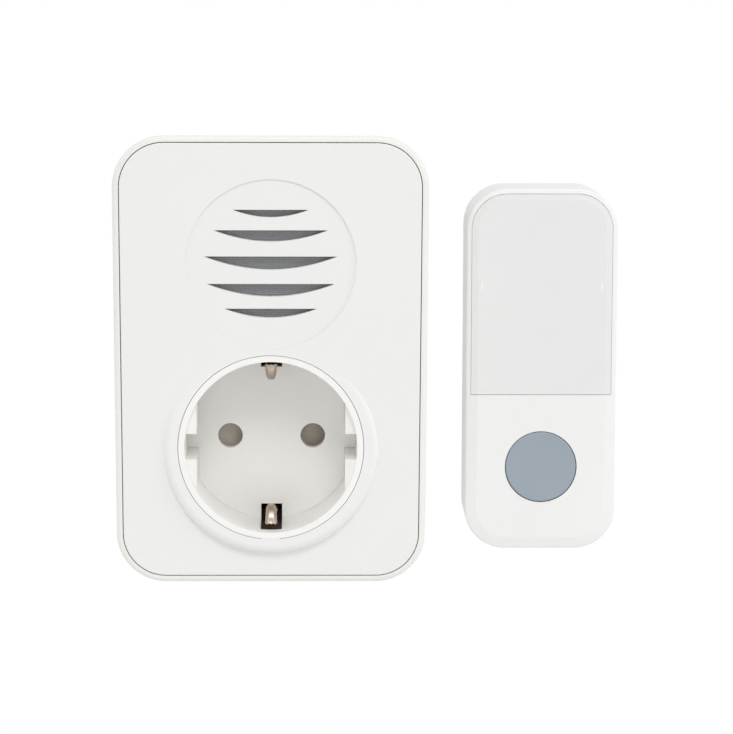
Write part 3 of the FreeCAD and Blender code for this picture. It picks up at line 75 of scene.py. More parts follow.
def linear(colour):
    """An sRGB hex colour as the linear red, green, blue and alpha that a shader reads."""
    parts = [int(colour[i:i + 2], 16) / 255 for i in (1, 3, 5)]
    return [p / 12.92 if p <= 0.04045 else ((p + 0.055) / 1.055) ** 2.4 for p in parts] + [1.0]


def per(size):
    """The scale of a texture whose features measure this many millimetres."""
    return 1.0 / (size * MM)


def add(tree, kind, inputs=None, **settings):
    """Adds a node with its settings; each named or numbered input gets a value or a socket."""
    made = tree.nodes.new(kind)
    for name, value in settings.items():
        setattr(made, name, value)
    for name, value in (inputs or {}).items():
        if isinstance(value, bpy.types.NodeSocket):
            tree.links.new(value, made.inputs[name])
        else:
            made.inputs[name].default_value = value
    return made


def new_material(name):
    """A material with an empty tree, and the Object coordinates that its patterns lie on."""
    made = bpy.data.materials.new(name)
    made.use_nodes = True
    tree = made.node_tree
    tree.nodes.clear()
    return made, tree, add(tree, "ShaderNodeTexCoord").outputs["Object"]


def set_camera():
    """The photograph's view: 0.73 m in front, a little above, and turned by about a degree."""
    focal_length, sensor_width = 152.33, 36.0
    place = (7.02, -730.98, 115.53)
    down, roll, turn = 8.0, -0.2, -1.172
    data = bpy.data.cameras.new("Photo camera")
    data.lens = focal_length
    data.sensor_width = sensor_width
    camera = bpy.data.objects.new("Photo camera", data)
    camera.location = [length * MM for length in place]
    camera.rotation_euler = [math.radians(angle) for angle in (90 - down, roll, turn)]
    scene.collection.objects.link(camera)
    scene.camera = camera


def set_lamps():
    """Plain white square lamps in metres and watts, turned towards the middle of the object.

    The key lamp stands high in front. Three wide, weak ones fill in the sides and the underside."""
    aim = np.array([0.02, 0.0, 0.02])
    for name, place, size, power in (
        ("Key", (0.15, -1.05, 1.08), 0.5, 6.4),
        ("Left fill", (-1.2, -0.55, 0.3), 0.8, 1.5),
        ("Right fill", (1.25, -0.5, 0.2), 0.7, 3.4),
        ("Low fill", (-0.3, -1.4, -0.4), 1.0, 1.8),
    ):
        data = bpy.data.lights.new(name, "AREA")
        data.shape = "SQUARE"
        data.size = size
        data.energy = power
        lamp = bpy.data.objects.new(name, data)
        x, y, z = np.array(place) - aim
        lamp.location = place
        lamp.rotation_euler = (math.atan2(math.hypot(x, y), z), 0.0, math.atan2(x, -y))
        scene.collection.objects.link(lamp)


def set_world():
    """A white light tent: plain white for the camera, gloss and clear panes.

    The light that it gives a matt surface comes mostly from its sides and top, and is weaker
    towards the camera and the wall behind."""
    side_light, facing_light = 0.85, 0.54
    world = bpy.data.worlds.new("White studio")
    world.use_nodes = True
    tree = world.node_tree
    tree.nodes.clear()
    ray = add(tree, "ShaderNodeLightPath")
    seen = add(tree, "ShaderNodeMath", {
        0: ray.outputs["Is Camera Ray"], 1: ray.outputs["Is Glossy Ray"],
    }, operation="MAXIMUM")
    seen = add(tree, "ShaderNodeMath", {
        0: seen.outputs[0], 1: ray.outputs["Is Transmission Ray"],
    }, operation="MAXIMUM")
    spot = add(tree, "ShaderNodeTexCoord")
    across = add(tree, "ShaderNodeSeparateXYZ", {0: spot.outputs["Generated"]})
    out_or_in = add(tree, "ShaderNodeMath", {0: across.outputs["Y"]}, operation="ABSOLUTE")
    tent = add(tree, "ShaderNodeMapRange", {
        "Value": out_or_in.outputs[0], "To Min": side_light, "To Max": facing_light,
    })
    strength = add(tree, "ShaderNodeMapRange", {
        "Value": seen.outputs[0], "To Min": tent.outputs[0], "To Max": 1.0,
    })
    light = add(tree, "ShaderNodeBackground", {
        "Color": linear("#ffffff"), "Strength": strength.outputs[0],
    })
    add(tree, "ShaderNodeOutputWorld", {"Surface": light.outputs[0]})
    scene.world = world


def set_stage():
    """A pale round floor below the object, a turned disc with a square rim."""
    radius, thickness, rings = 300.0, 3.0, 24
    reach = np.linspace(0, radius, rings)
    profile = np.concatenate([
        np.stack([reach, np.full_like(reach, FLOOR_LEVEL)], axis=-1),
        [(radius, FLOOR_LEVEL - thickness), (0.0, FLOOR_LEVEL - thickness)],
    ])
    floor = turned("floor", profile, (FLOOR_CENTRE, 0.0, 0.0), pale_floor(), UPWARD, sharp=60.0)


def pale_floor():
    """Matt white paint on board; white light of its own takes over between the two radii."""
    fade_from, fade_to, fleck_size = 160.0, 290.0, 3.0
    made, tree, place = new_material("matt white painted board")
    centred = add(tree, "ShaderNodeMapping", {
        "Vector": place, "Location": (-FLOOR_CENTRE * MM, 0.0, -FLOOR_LEVEL * MM),
    })
    reach = add(tree, "ShaderNodeVectorMath", {0: centred.outputs[0]}, operation="LENGTH")
    fade = add(tree, "ShaderNodeMapRange", {
        "Value": reach.outputs["Value"], "From Min": fade_from * MM, "From Max": fade_to * MM,
    }, interpolation_type="SMOOTHSTEP")
    fleck = add(tree, "ShaderNodeTexNoise", {"Vector": place, "Scale": per(fleck_size)})
    tone = add(tree, "ShaderNodeMix", {
        "Factor": fleck.outputs["Fac"], MIX_FIRST: linear("#f4f4f3"), MIX_SECOND: linear("#f8f8f7"),
    }, data_type="RGBA")
    paint = add(tree, "ShaderNodeBsdfPrincipled", {
        "Base Color": tone.outputs[MIX_RESULT], "Roughness": 0.9,
    })
    white = add(tree, "ShaderNodeEmission", {"Color": linear("#ffffff"), "Strength": 1.0})
    mixed = add(tree, "ShaderNodeMixShader", {
        0: fade.outputs[0], 1: paint.outputs[0], 2: white.outputs[0],
    })
    add(tree, "ShaderNodeOutputMaterial", {"Surface": mixed.outputs[0]})
    return made


def quads(rows, columns, closed_columns):
    """Corner numbers of the faces between neighbouring rows and columns of a grid of points."""
    row, column = np.meshgrid(
        np.arange(rows - 1), np.arange(columns if closed_columns else columns - 1), indexing="ij"
    )
    after = (column + 1) % columns
    return np.stack([
        row * columns + column, row * columns + after,
        (row + 1) * columns + after, (row + 1) * columns + column,
    ], axis=-1).reshape(-1, 4)


def shade(mesh, sharp):
    """Smooth shading, with a crisp edge where faces bend by more than this many degrees."""
    mesh.polygons.foreach_set("use_smooth", np.ones(len(mesh.polygons), bool))
    mesh.set_sharp_from_angle(angle=math.radians(sharp))


def new_object(name, mesh, material):
    """Puts a mesh into the scene with one material."""
    mesh.materials.clear()
    mesh.materials.append(material)
    made = bpy.data.objects.new(name, mesh)
    scene.collection.objects.link(made)
    return made


def new_piece(name, points, form, material, sharp=40.0):
    """A mesh from a grid of points in metres, given row by row.

    The form says whether the last column joins the first ("round") and whether the first and last
    rows end in one face each ("closed"), which shuts a tube or a carried outline. Points that meet,
    as on an axis, are welded. The faces are turned outwards: all one way, and then round if the
    volume that they shut in comes out below 0."""
    rows, columns = points.shape[:2]
    faces = quads(rows, columns, "round" in form)
    mesh = bpy.data.meshes.new(name)
    mesh.vertices.add(rows * columns)
    mesh.vertices.foreach_set("co", points.reshape(-1).astype(np.float32))
    ends = []
    if "closed" in form:
        ends = [np.arange(columns)[::-1], np.arange(columns) + (rows - 1) * columns]
    corners = np.concatenate([faces.reshape(-1), *ends])
    starts = list(range(0, faces.size, 4)) + [faces.size + i * columns for i in range(len(ends))]
    mesh.loops.add(len(corners))
    mesh.loops.foreach_set("vertex_index", corners.astype(np.int32))
    mesh.polygons.add(len(starts))
    mesh.polygons.foreach_set("loop_start", np.array(starts, np.int32))
    mesh.update(calc_edges=True)
    mesh.validate()
    work = bmesh.new()
    work.from_mesh(mesh)
    bmesh.ops.remove_doubles(work, verts=work.verts, dist=WELD)
    bmesh.ops.recalc_face_normals(work, faces=work.faces)
    if work.calc_volume(signed=True) < 0:
        bmesh.ops.reverse_faces(work, faces=work.faces)
    work.to_mesh(mesh)
    work.free()
    shade(mesh, sharp)
    return new_object(name, mesh, material)


def leaning(degrees):
    """The axes of a piece that is turned round a line out of the wall, tipped down by an angle."""
    lean = math.radians(degrees)
    return np.array([
        (1.0, 0.0, 0.0),
        (0.0, -math.sin(lean), math.cos(lean)),
        (0.0, -math.cos(lean), -math.sin(lean)),
    ])


def turned(name, profile, centre, material, axes, sharp=40.0):
    """A turned piece: each (radius, height) point of the profile goes once round the axis.

    A point at an angle a is centre + radius cos(a) first + radius sin(a) second + height third,
    where first, second and third are the rows of axes."""
    turns = 128
    radius, height = np.array(profile, float).T
    around = np.linspace(0, 2 * np.pi, turns, endpoint=False)
    local = np.stack([
        radius[:, None] * np.cos(around), radius[:, None] * np.sin(around),
        np.broadcast_to(height[:, None], (len(radius), turns)),
    ], axis=-1)
    return new_piece(name, (local @ axes + centre) * MM, "round", material, sharp)


def carried(name, half_x, half_z, corner, profile, centre, material,
            form="closed round", quarter=8):
    """A profile carried round a rectangle with round corners, shut at both ends.

    Each profile point is (inset, depth): the rectangle shrinks by the inset and lies at that depth.
    A corner's points are its centre plus its radius times (cos a, sin a), a quarter turn each. The
    corner's radius is one number, or four that start at the right top corner and go on leftwards.
    In the form "round" the profile ends where it began, and makes a frame."""
    least_radius = 0.02
    inset, depth = np.array(profile, float).T
    angles = np.concatenate([np.linspace(q, q + 1, quarter) * np.pi / 2 for q in range(4)])
    side_x = np.repeat([1, -1, -1, 1], quarter)
    side_z = np.repeat([1, 1, -1, -1], quarter)
    corners = np.repeat(np.broadcast_to(corner, 4), quarter)
    radius = np.maximum(corners - inset[:, None], least_radius)
    x = side_x * (half_x - inset[:, None] - radius) + radius * np.cos(angles)
    z = side_z * (half_z - inset[:, None] - radius) + radius * np.sin(angles)
    y = np.broadcast_to(-depth[:, None], x.shape)
    return new_piece(name, (np.stack([x, y, z], axis=-1) + centre) * MM, form, material)


def span(node):
    """The lowest and the highest corner of a node's box at rest."""
    low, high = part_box(node)
    return np.array(low) / MM, np.array(high) / MM


def middle(node):
    """The middle of a node's box at rest."""
    low, high = span(node)
    return (low + high) / 2


def body_of(node):
    """The body that a CAD node rides on."""
    bodies = frame["record"]["behaviour"]["bodies"]
    return next(body for body, nodes in bodies.items() if node in nodes)


def read(table, place):
    """The value at a place in a table of place: value rows, straight between them."""
    return np.interp(place, list(table), list(table.values()))


def rounded_line(corners, step, window):
    """A polyline through (depth, radius) corners, in even steps and smoothed by a running mean.

    It comes with the distance of each point along the polyline."""
    corners = np.array(corners, float)
    lengths = np.concatenate([[0], np.cumsum(np.hypot(*np.diff(corners, axis=0).T))])
    along = np.arange(0, lengths[-1], step)
    line = np.stack([np.interp(along, lengths, corners[:, k]) for k in (0, 1)], axis=-1)
    reach = int(window / step / 2)
    padded = np.concatenate([np.repeat(line[:1], reach, 0), line, np.repeat(line[-1:], reach, 0)])
    kernel = np.ones(2 * reach + 1) / (2 * reach + 1)
    smooth = [np.convolve(padded[:, k], kernel, mode="valid") for k in (0, 1)]
    return along, np.stack(smooth, axis=-1)


def make_earth_clips(material):
    """The two earth springs. Each is a pressed strip carried along a bent line.

    The line ends in most of a quarter circle, which turns from the socket's axis to the front and
    makes the contact. The strip's section is a channel: for u from -1 to 1 across, x is u times
    half the width, and with w = (|u| - 0.45) / 0.55, not below 0, the flanks fall by the rise times
    0.3 w + 0.7 (1 - sqrt(1 - w squared)). The rise and the width change with the depth. The free
    end is trimmed by 1 - |cos(1.5 pi u)|, which leaves three lobes, and has a pressed dimple behind
    it, a bell curve both ways."""
    # Corners of the line as (depth, reach from the socket's axis): the run, and the free end.
    run = [(-15.5, 16.6), (-7.75, 17.45), (0.0, 17.0), (22.5, 17.0)]
    free_end = (35.85, 18.6)
    bend, bend_depth, nearest, bend_turn = 4.3, 31.5, 14.3, 1.5
    step, smoothing, across, bend_points = 0.15, 1.2, 25, 12
    thickness, flat, straight_share = 0.45, 0.45, 0.3
    lobe_length, trimmed_length = 0.45, 1.8
    dimple_height, dimple_back, dimple_length, dimple_width = 0.3, 1.0, 0.4, 0.3
    half_by_depth = {18.0: 2.0, 22.0: 1.3, bend_depth: 1.2}
    half_by_reach = {nearest: 1.2, 15.5: 1.25, 17.0: 1.32, 18.5: 1.42}
    rise_by_depth = {20.0: 0.0, 27.0: 0.9, bend_depth: 1.7, 34.5: 1.5, 36.0: 1.0}

    turn = np.linspace(0, bend_turn, bend_points)
    contact = np.stack([
        bend_depth + bend * np.sin(turn), nearest + bend * (1 - np.cos(turn)),
    ], axis=-1)
    along, line = rounded_line(np.concatenate([run, contact, [free_end]]), step, smoothing)
    length = along[-1]
    u = np.sin(np.linspace(-np.pi / 2, np.pi / 2, across))
    trim = (1 - np.abs(np.cos(1.5 * np.pi * u))) * lobe_length
    near_end = np.clip((along - (length - trimmed_length)) / trimmed_length, 0, 1)
    place = along[:, None] - near_end[:, None] * trim
    depth = np.interp(place, along, line[:, 0])
    reach = np.interp(place, along, line[:, 1])
    half = np.where(depth < bend_depth, read(half_by_depth, depth), read(half_by_reach, reach))
    slope = np.gradient(line, axis=0)
    slope /= np.linalg.norm(slope, axis=1)[:, None]
    normal = np.stack([-slope[:, 1], slope[:, 0]], axis=-1)
    flank = np.clip((np.abs(u) - flat) / (1 - flat), 0, 1)
    rounding = 1 - np.sqrt(1 - flank ** 2)
    dimple = dimple_height * np.exp(
        -((place - length + dimple_back) / dimple_length) ** 2 - (u / dimple_width) ** 2
    )
    fall = straight_share * flank + (1 - straight_share) * rounding
    lift = read(rise_by_depth, depth) * fall + dimple
    faces = [
        np.stack([half * u, depth + normal[:, :1] * off, reach + normal[:, 1:] * off], axis=-1)
        for off in (lift, lift + thickness)
    ]
    section = np.concatenate([faces[0], faces[1][:, ::-1]], axis=1)
    for word, side in TOP_AND_BOTTOM:
        points = np.stack([section[..., 0], -section[..., 1], side * section[..., 2]], axis=-1) * MM
        clip = new_piece(f"earth_clip_{word}", points, "closed round", material, sharp=50.0)
        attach(clip, CHIME)
        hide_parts(f"earth_strip_{word}")


def make_shade_and_fibre_linings(material):
    """Brown fibre linings behind the earth windows, clear of the springs. Their dark brown is
    partly painted shade for the deep insides of the windows.

    Each is an arc of a thin tube inside the housing's sleeve, whose rear end turns in to a flange:
    the section's (radius, depth) corners go round the socket's axis, half the angle each way."""
    half_angle, wall, lip = math.radians(6.55), 0.08, 17.95
    outside, inside = 20.66, 20.58
    back, front, arc_points = 19.0, 36.2, 13
    angles = np.linspace(-half_angle, half_angle, arc_points)
    corners = np.array([
        (lip, back), (outside, back), (outside, front), (inside, front), (inside, back + wall),
        (lip, back + wall),
    ])
    for word, side in TOP_AND_BOTTOM:
        points = np.stack([
            corners[:, 0] * np.sin(angles)[:, None],
            np.broadcast_to(-corners[:, 1], (len(angles), len(corners))),
            side * corners[:, 0] * np.cos(angles)[:, None],
        ], axis=-1) * MM
        lining = new_piece(f"earth_fibre_shade_lining_{word}", points, "closed round", material)
        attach(lining, CHIME)


def make_shutter(material):
    """The shutter's plate with a sloping pocket under each pin hole, which leads the pin sideways.

    Each pocket is a round cutter: at an angle a its floor lies the mean depth plus the slope times
    cos(a) below the plate's face. The two are cut out of a welded copy of the plate."""
    pocket_radius, proud, turns = 3.0, 1.0, 96
    pin_half_pitch = 9.5
    pockets = (
        (-pin_half_pitch, 0.62, 0.58),
        (pin_half_pitch, 1.3, 0.64),
    )
    face = -span("shutter")[0][1]
    around = np.linspace(0, 2 * np.pi, turns, endpoint=False)
    mesh = cad["shutter"].data.copy()
    work = bmesh.new()
    work.from_mesh(mesh)
    bmesh.ops.remove_doubles(work, verts=work.verts, dist=WELD)
    work.to_mesh(mesh)
    work.free()
    plate = new_object("shutter_plate", mesh, material)
    for hole, mean, slope in pockets:
        x = hole + pocket_radius * np.cos(around)
        z = pocket_radius * np.sin(around)
        rows = [np.stack([x, -out, z], axis=-1) for out in (
            np.full(turns, face + proud), face - mean - slope * np.cos(around),
        )]
        cutter = new_piece("pocket_cutter", np.stack(rows) * MM, "closed round", material)
        cut = plate.modifiers.new("Pocket", "BOOLEAN")
        cut.object = cutter
        cut.solver = "EXACT"
        bpy.context.view_layer.update()
        shape = plate.evaluated_get(bpy.context.evaluated_depsgraph_get())
        plate.data = bpy.data.meshes.new_from_object(shape)
        plate.modifiers.clear()
        bpy.data.objects.remove(cutter)
    shade(plate.data, sharp=30.0)
    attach(plate, body_of("shutter"))
    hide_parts("shutter")


def quarter_round(start, end, leaves):
    """A quarter turn from one (radius, height) point to another.

    Where it leaves along the radius, that goes with the turn's sine, and the height with 1 less its
    cosine; where it leaves along the height, it is the other way round."""
    points = 7
    turn = np.linspace(0, np.pi / 2, points)
    share = np.stack([np.sin(turn), 1 - np.cos(turn)], axis=-1)
    if leaves == "height":
        share = share[:, ::-1]
    start = np.array(start)
    return start + (end - start) * share


def make_bell_button(material):
    """The round button, turned: a dished face, a round edge, a skirt, a lip and a plunger.

    The dish is a parabola: its depth below the edge is the dish times 1 - (r / its radius)
    squared."""
    lip, lip_wall, lip_setback = 1.0, 1.2, 1.9
    skirt, skin, plunger = 1.2, 1.6, 2.0
    dish, rounding, dish_points = 0.3, 0.35, 24
    low, high = span("bell_button")
    front, back, lip_radius = -low[1], -high[1], (high[0] - low[0]) / 2
    edge = lip_radius - lip
    face_radius, hollow = edge - rounding, edge - skirt
    centre = middle("bell_button") * (1, 0, 1)
    face = np.linspace(0, face_radius, dish_points)
    lip_front = front - lip_setback
    lip_back = lip_front - lip_wall
    profile = np.concatenate([
        np.stack([face, front - dish * (1 - (face / face_radius) ** 2)], axis=-1),
        quarter_round((face_radius, front), (edge, front - rounding), "radius")[1:],
        [(edge, lip_front), (lip_radius, lip_front), (lip_radius, lip_back), (hollow, lip_back),
         (hollow, front - skin), (plunger, front - skin), (plunger, back), (0.0, back)],
    ])
    button = turned("button_cap", profile, centre, material, leaning(0.0), sharp=35.0)
    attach(button, "bell_button")
    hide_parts("bell_button")


def make_speaker_cloth(material):
    """The cloth behind the grille: a disc square to the leaning face, pushed in a little mid-way.

    A point at radius r lies the sag times 1 - (r / rim) squared behind the rim."""
    thickness, sag, points_out = 0.22, 0.12, 28
    low, high = span("speaker_cloth")
    radius = (high[0] - low[0]) / 2
    reach = np.linspace(0, radius, points_out)
    front = thickness / 2 + sag * (reach / radius) ** 2 - sag / 2
    profile = np.concatenate([
        np.stack([reach, front], axis=-1), np.stack([reach, front - thickness], axis=-1)[::-1],
    ])
    centre = middle("speaker_cloth")
    cloth = turned("grille_cloth", profile, centre, material, leaning(FACE_LEAN))
    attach(cloth, CHIME)
    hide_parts("speaker_cloth")


def make_speaker_cone(material):
    """The loudspeaker's paper cone, turned round the leaning axis, with the coil's tube behind.

    Its depth behind the cloth's back is, going outwards: a dome, which falls by the square of the
    radius; a straight flare with rings pressed into it, a sine; and a rolled surround that comes
    forward in a line and stands out by half a sine, clear of the basket."""
    behind_cloth, wall = 0.185, 0.3
    cap_radius, cap_top, cap_foot = 4.8, 1.1, 1.8
    roll_radius, roll_foot, roll_height, ring_height, ring_pitch = 12.4, 0.85, 0.2, 0.04, 1.2
    rim_radius, rim_foot, points_out = 14.85, 0.55, 150
    tube_outside, tube_inside, tube_end = 4.6, 4.2, 5.1
    reach = np.linspace(0, rim_radius, points_out)
    dome = cap_top + (cap_foot - cap_top) * (reach / cap_radius) ** 2
    over_flare = (reach - cap_radius) / (roll_radius - cap_radius)
    rings = ring_height * np.sin(2 * np.pi * (reach - cap_radius) / ring_pitch)
    flare = cap_foot - (cap_foot - roll_foot) * over_flare + rings
    over_roll = (reach - roll_radius) / (rim_radius - roll_radius)
    line = roll_foot - (roll_foot - rim_foot) * over_roll
    surround = line - roll_height * np.sin(np.pi * over_roll)
    depth = np.where(reach < cap_radius, dome, np.where(reach < roll_radius, flare, surround))
    front = -depth - behind_cloth
    inwards, back = reach[::-1], (front - wall)[::-1]
    outside, inside = inwards > tube_outside, inwards < tube_inside
    profile = np.concatenate([
        np.stack([reach, front], axis=-1),
        np.stack([inwards[outside], back[outside]], axis=-1),
        [(tube_outside, -tube_end - behind_cloth), (tube_inside, -tube_end - behind_cloth)],
        np.stack([inwards[inside], back[inside]], axis=-1),
    ])
    centre = middle("speaker_cloth")
    cone = turned("paper_cone", profile, centre, material, leaning(FACE_LEAN), sharp=50.0)
    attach(cone, body_of("speaker_cone"))
    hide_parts("speaker_cone")


def rounded_can(radius, low, high, round_low, round_high, wall=np.empty((0, 2))):
    """The (radius, height) profile of a drawn can: flat ends, and a quarter round at each.

    Points in the wall, such as a groove's, lie between the two rounds."""
    return np.concatenate([
        [(0.0, low)],
        quarter_round((radius - round_low, low), (radius, low + round_low), "radius"),
        wall,
        quarter_round((radius, high - round_high), (radius - round_high, high), "height"),
        [(0.0, high)],
    ])


def sleeve_profile(inside, outside, low, high, lip):
    """The (radius, height) profile of a sleeve shrunk on a can, whose ends turn in by the lip."""
    return [
        (inside, low + lip), (inside - lip, low), (outside - lip, low), (outside, low + lip),
        (outside, high - lip), (outside - lip, high), (inside - lip, high), (inside, high - lip),
        (inside, low + lip),
    ]


def make_battery(jacket, metal):
    """The battery: a drawn can with a stepped pole cap, and a foil jacket shrunk on it."""
    film, cap_height, round_foot, round_shoulder = 0.1, 0.6, 0.5, 0.7
    pole, pole_edge, ring_out, ring_in, ring_depth = 2.0, 0.15, 0.7, 0.5, 0.2
    bare_foot, bare_shoulder = 0.35, 0.4
    low, high = span("battery")
    foot, top, radius = low[2], high[2], (high[0] - low[0]) / 2
    shoulder = top - cap_height
    at = middle("battery") * (1, 1, 0)
    shell = turned("battery_can", np.concatenate([
        rounded_can(radius - film, foot, shoulder, round_foot, round_shoulder)[:-1],
        [(pole + ring_out, shoulder), (pole + ring_in, shoulder - ring_depth),
         (pole, shoulder - ring_depth), (pole, top - pole_edge), (pole - pole_edge, top),
         (0.0, top)],
    ]), at, metal, UPWARD)
    wrap = turned("battery_wrap", sleeve_profile(
        radius - film, radius, foot + bare_foot, shoulder - bare_shoulder, film
    ), at, jacket, UPWARD)
    for piece, slot in ((shell, "crystal_metal"), (wrap, "battery_jacket")):
        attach(piece, body_of("battery"))
        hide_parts("battery")


def make_smoothing_capacitor(sleeve, metal):
    """The electrolytic capacitor: an aluminium can with a rolled groove near its foot, in a sleeve.

    The groove's depth goes with the square of a cosine across its width."""
    film, round_foot, round_top = 0.1, 0.3, 0.45
    groove_height, groove_depth, groove_half, groove_points = 1.8, 0.3, 0.6, 9
    bare_foot, bare_top = 2.6, 0.25
    low, high = span("smoothing_capacitor")
    foot, top, radius = -high[1], -low[1], (high[0] - low[0]) / 2
    at = middle("smoothing_capacitor") * (1, 0, 1)
    across = np.linspace(-1, 1, groove_points)
    groove = np.stack([
        radius - film - groove_depth * np.cos(across * np.pi / 2) ** 2,
        foot + groove_height + groove_half * across,
    ], axis=-1)
    can = rounded_can(radius - film, foot, top, round_foot, round_top, wall=groove)
    shell = turned("capacitor_shell", can, at, metal, leaning(0.0))
    wrap = turned("capacitor_sleeve", sleeve_profile(
        radius - film, radius, foot + bare_foot, top - bare_top, film
    ), at, sleeve, leaning(0.0))
    for piece, slot in ((shell, "crystal_metal"), (wrap, "capacitor_can")):
        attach(piece, body_of("smoothing_capacitor"))
        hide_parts("smoothing_capacitor")


def make_catch_cups(material, mark_material):
    """Moulded cups behind the window's two catches, and the bright marks that the catches make.

    The cups shut the slots in the pocket's floor. Their profile runs up the outside, over the mouth
    and down to the cup's own floor. The marks are low rounded slabs in the window's face."""
    push_half_width, catch_inset, catch_height = 17.5, 3.6, 19.7
    cup_half_x, cup_half_z, cup_corner = 1.0, 1.55, 0.5
    back, mouth, wall, foot_edge, draft = 12.6, 13.88, 0.5, 0.1, 0.05
    mark_half_x, mark_half_z, mark_corner = 0.27, 0.9, 0.26
    mark_edge, mark_depth, sunk_edge, proud = 0.1, 0.1, 0.08, 0.02
    pane = -span("name_window")[0][1]
    push_middle = middle("push_case")
    for word, side in (("left", -1), ("right", 1)):
        out = side * (push_half_width - catch_inset)
        at = (push_middle[0] + out, 0.0, push_middle[2] + catch_height)
        cup = carried(f"catch_cup_{word}", cup_half_x, cup_half_z, cup_corner, [
            (foot_edge, back), (0.0, back + foot_edge), (0.0, mouth), (wall, mouth),
            (wall + draft, back + wall),
        ], at, material)
        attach(cup, PUSH)
        mark = carried(f"catch_mark_{word}", mark_half_x, mark_half_z, mark_corner, [
            (mark_edge, pane - mark_depth), (0.0, pane - sunk_edge), (0.0, pane),
            (mark_edge, pane + proud),
        ], at, mark_material)
        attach(mark, body_of("name_window"))


def make_window_seal(material):
    """A soft white seal round the window's edge, a little below the face: it lights up the seam.

    It fills the seam but for the slack on both sides, and its front edges are cut by the slack."""
    seam, slack = 0.12, 0.014
    foot, top = 14.6, 16.42
    round_corner, crisp_corner = 8.18, 0.02
    low, high = span("name_window")
    centre = middle("name_window") * (1, 0, 1)
    half_x, _, half_z = (high - low) / 2
    corners = (round_corner, round_corner, crisp_corner, crisp_corner)
    near, far = -slack, slack - seam
    seal = carried("window_seal", half_x, half_z, corners, [
        (near, foot), (near, top - slack), (near - slack, top), (far + slack, top),
        (far, top - slack), (far, foot), (near, foot),
    ], centre, material, form="round", quarter=16)
    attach(seal, PUSH)


def make_wall_pads(material):
    """The two foam pads: rounded slabs whose sides bulge by a sine of the thickness."""
    pad_height, corner, bulge, edge, side_points = 13.0, 0.8, 0.12, 0.35, 9
    low, high = span("wall_pads")
    half_x = (high[0] - low[0]) / 2
    front, back = -low[1], -high[1]
    rise = np.linspace(0, 1, side_points)
    inset = bulge * (1 - np.sin(np.pi * rise))
    profile = np.concatenate([
        [(edge, back)], np.stack([inset, back + (front - back) * rise], axis=-1), [(edge, front)],
    ])
    half_z = pad_height / 2
    for word, level in (("upper", high[2] - half_z), ("lower", low[2] + half_z)):
        at = (middle("wall_pads")[0], 0.0, level)
        pad = carried(f"foam_pad_{word}", half_x, half_z, corner, profile, at, material)
        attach(pad, body_of("wall_pads"))
        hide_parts("wall_pads")


def moulded(name, colour, second, roughness, grain, depth, metallic=0.0):
    """A moulded, pressed or extruded stuff: a fine grain from its tool, and a faint cloudiness.

    The grain is given by its size and depth in millimetres; the second colour is the cloud's."""
    cloud_size, gloss_change = 26.0, 0.06
    made, tree, place = new_material(name)
    cloud = add(tree, "ShaderNodeTexNoise", {
        "Vector": place, "Scale": per(cloud_size), "Detail": 3.0,
    })
    tone = add(tree, "ShaderNodeMix", {
        "Factor": cloud.outputs["Fac"], MIX_FIRST: linear(colour), MIX_SECOND: linear(second),
    }, data_type="RGBA")
    pits = add(tree, "ShaderNodeTexNoise", {
        "Vector": place, "Scale": per(grain), "Detail": 2.0, "Roughness": 0.6,
    })
    gloss = add(tree, "ShaderNodeMapRange", {
        "Value": pits.outputs["Fac"],
        "To Min": roughness - gloss_change, "To Max": roughness + gloss_change,
    })
    relief = add(tree, "ShaderNodeBump", {
        "Strength": 0.5, "Distance": depth * MM, "Height": pits.outputs["Fac"],
    })
    skin = add(tree, "ShaderNodeBsdfPrincipled", {
        "Base Color": tone.outputs[MIX_RESULT], "Roughness": gloss.outputs[0],
        "Normal": relief.outputs[0], "IOR": 1.5, "Metallic": metallic,
    })
    add(tree, "ShaderNodeOutputMaterial", {"Surface": skin.outputs[0]})
    return made


def drawn_metal(name, colour, second, roughness, along, streak=0.25):
    """Rolled, drawn or turned metal: fine streaks along one axis, and a tint that drifts.

    The streak is given by its width in millimetres; the second colour is the drift's."""
    stretched, stain_size, relief_depth = 0.03, 4.0, 0.01
    shinier, duller = 0.08, 0.1
    made, tree, place = new_material(name)
    stretch = [stretched if axis == along else 1.0 for axis in "XYZ"]
    drawn = add(tree, "ShaderNodeMapping", {"Vector": place, "Scale": stretch})
    lines = add(tree, "ShaderNodeTexNoise", {
        "Vector": drawn.outputs[0], "Scale": per(streak), "Detail": 3.0, "Roughness": 0.65,
    })
    stain = add(tree, "ShaderNodeTexNoise", {"Vector": place, "Scale": per(stain_size)})
    tone = add(tree, "ShaderNodeMix", {
        "Factor": stain.outputs["Fac"], MIX_FIRST: linear(colour), MIX_SECOND: linear(second),
    }, data_type="RGBA")
    gloss = add(tree, "ShaderNodeMapRange", {
        "Value": lines.outputs["Fac"],
        "To Min": roughness - shinier, "To Max": roughness + duller,
    })
    relief = add(tree, "ShaderNodeBump", {
        "Strength": 0.4, "Distance": relief_depth * MM, "Height": lines.outputs["Fac"],
    })
    skin = add(tree, "ShaderNodeBsdfPrincipled", {
        "Base Color": tone.outputs[MIX_RESULT], "Roughness": gloss.outputs[0],
        "Normal": relief.outputs[0], "Metallic": 1.0,
    })
    add(tree, "ShaderNodeOutputMaterial", {"Surface": skin.outputs[0]})
    return made


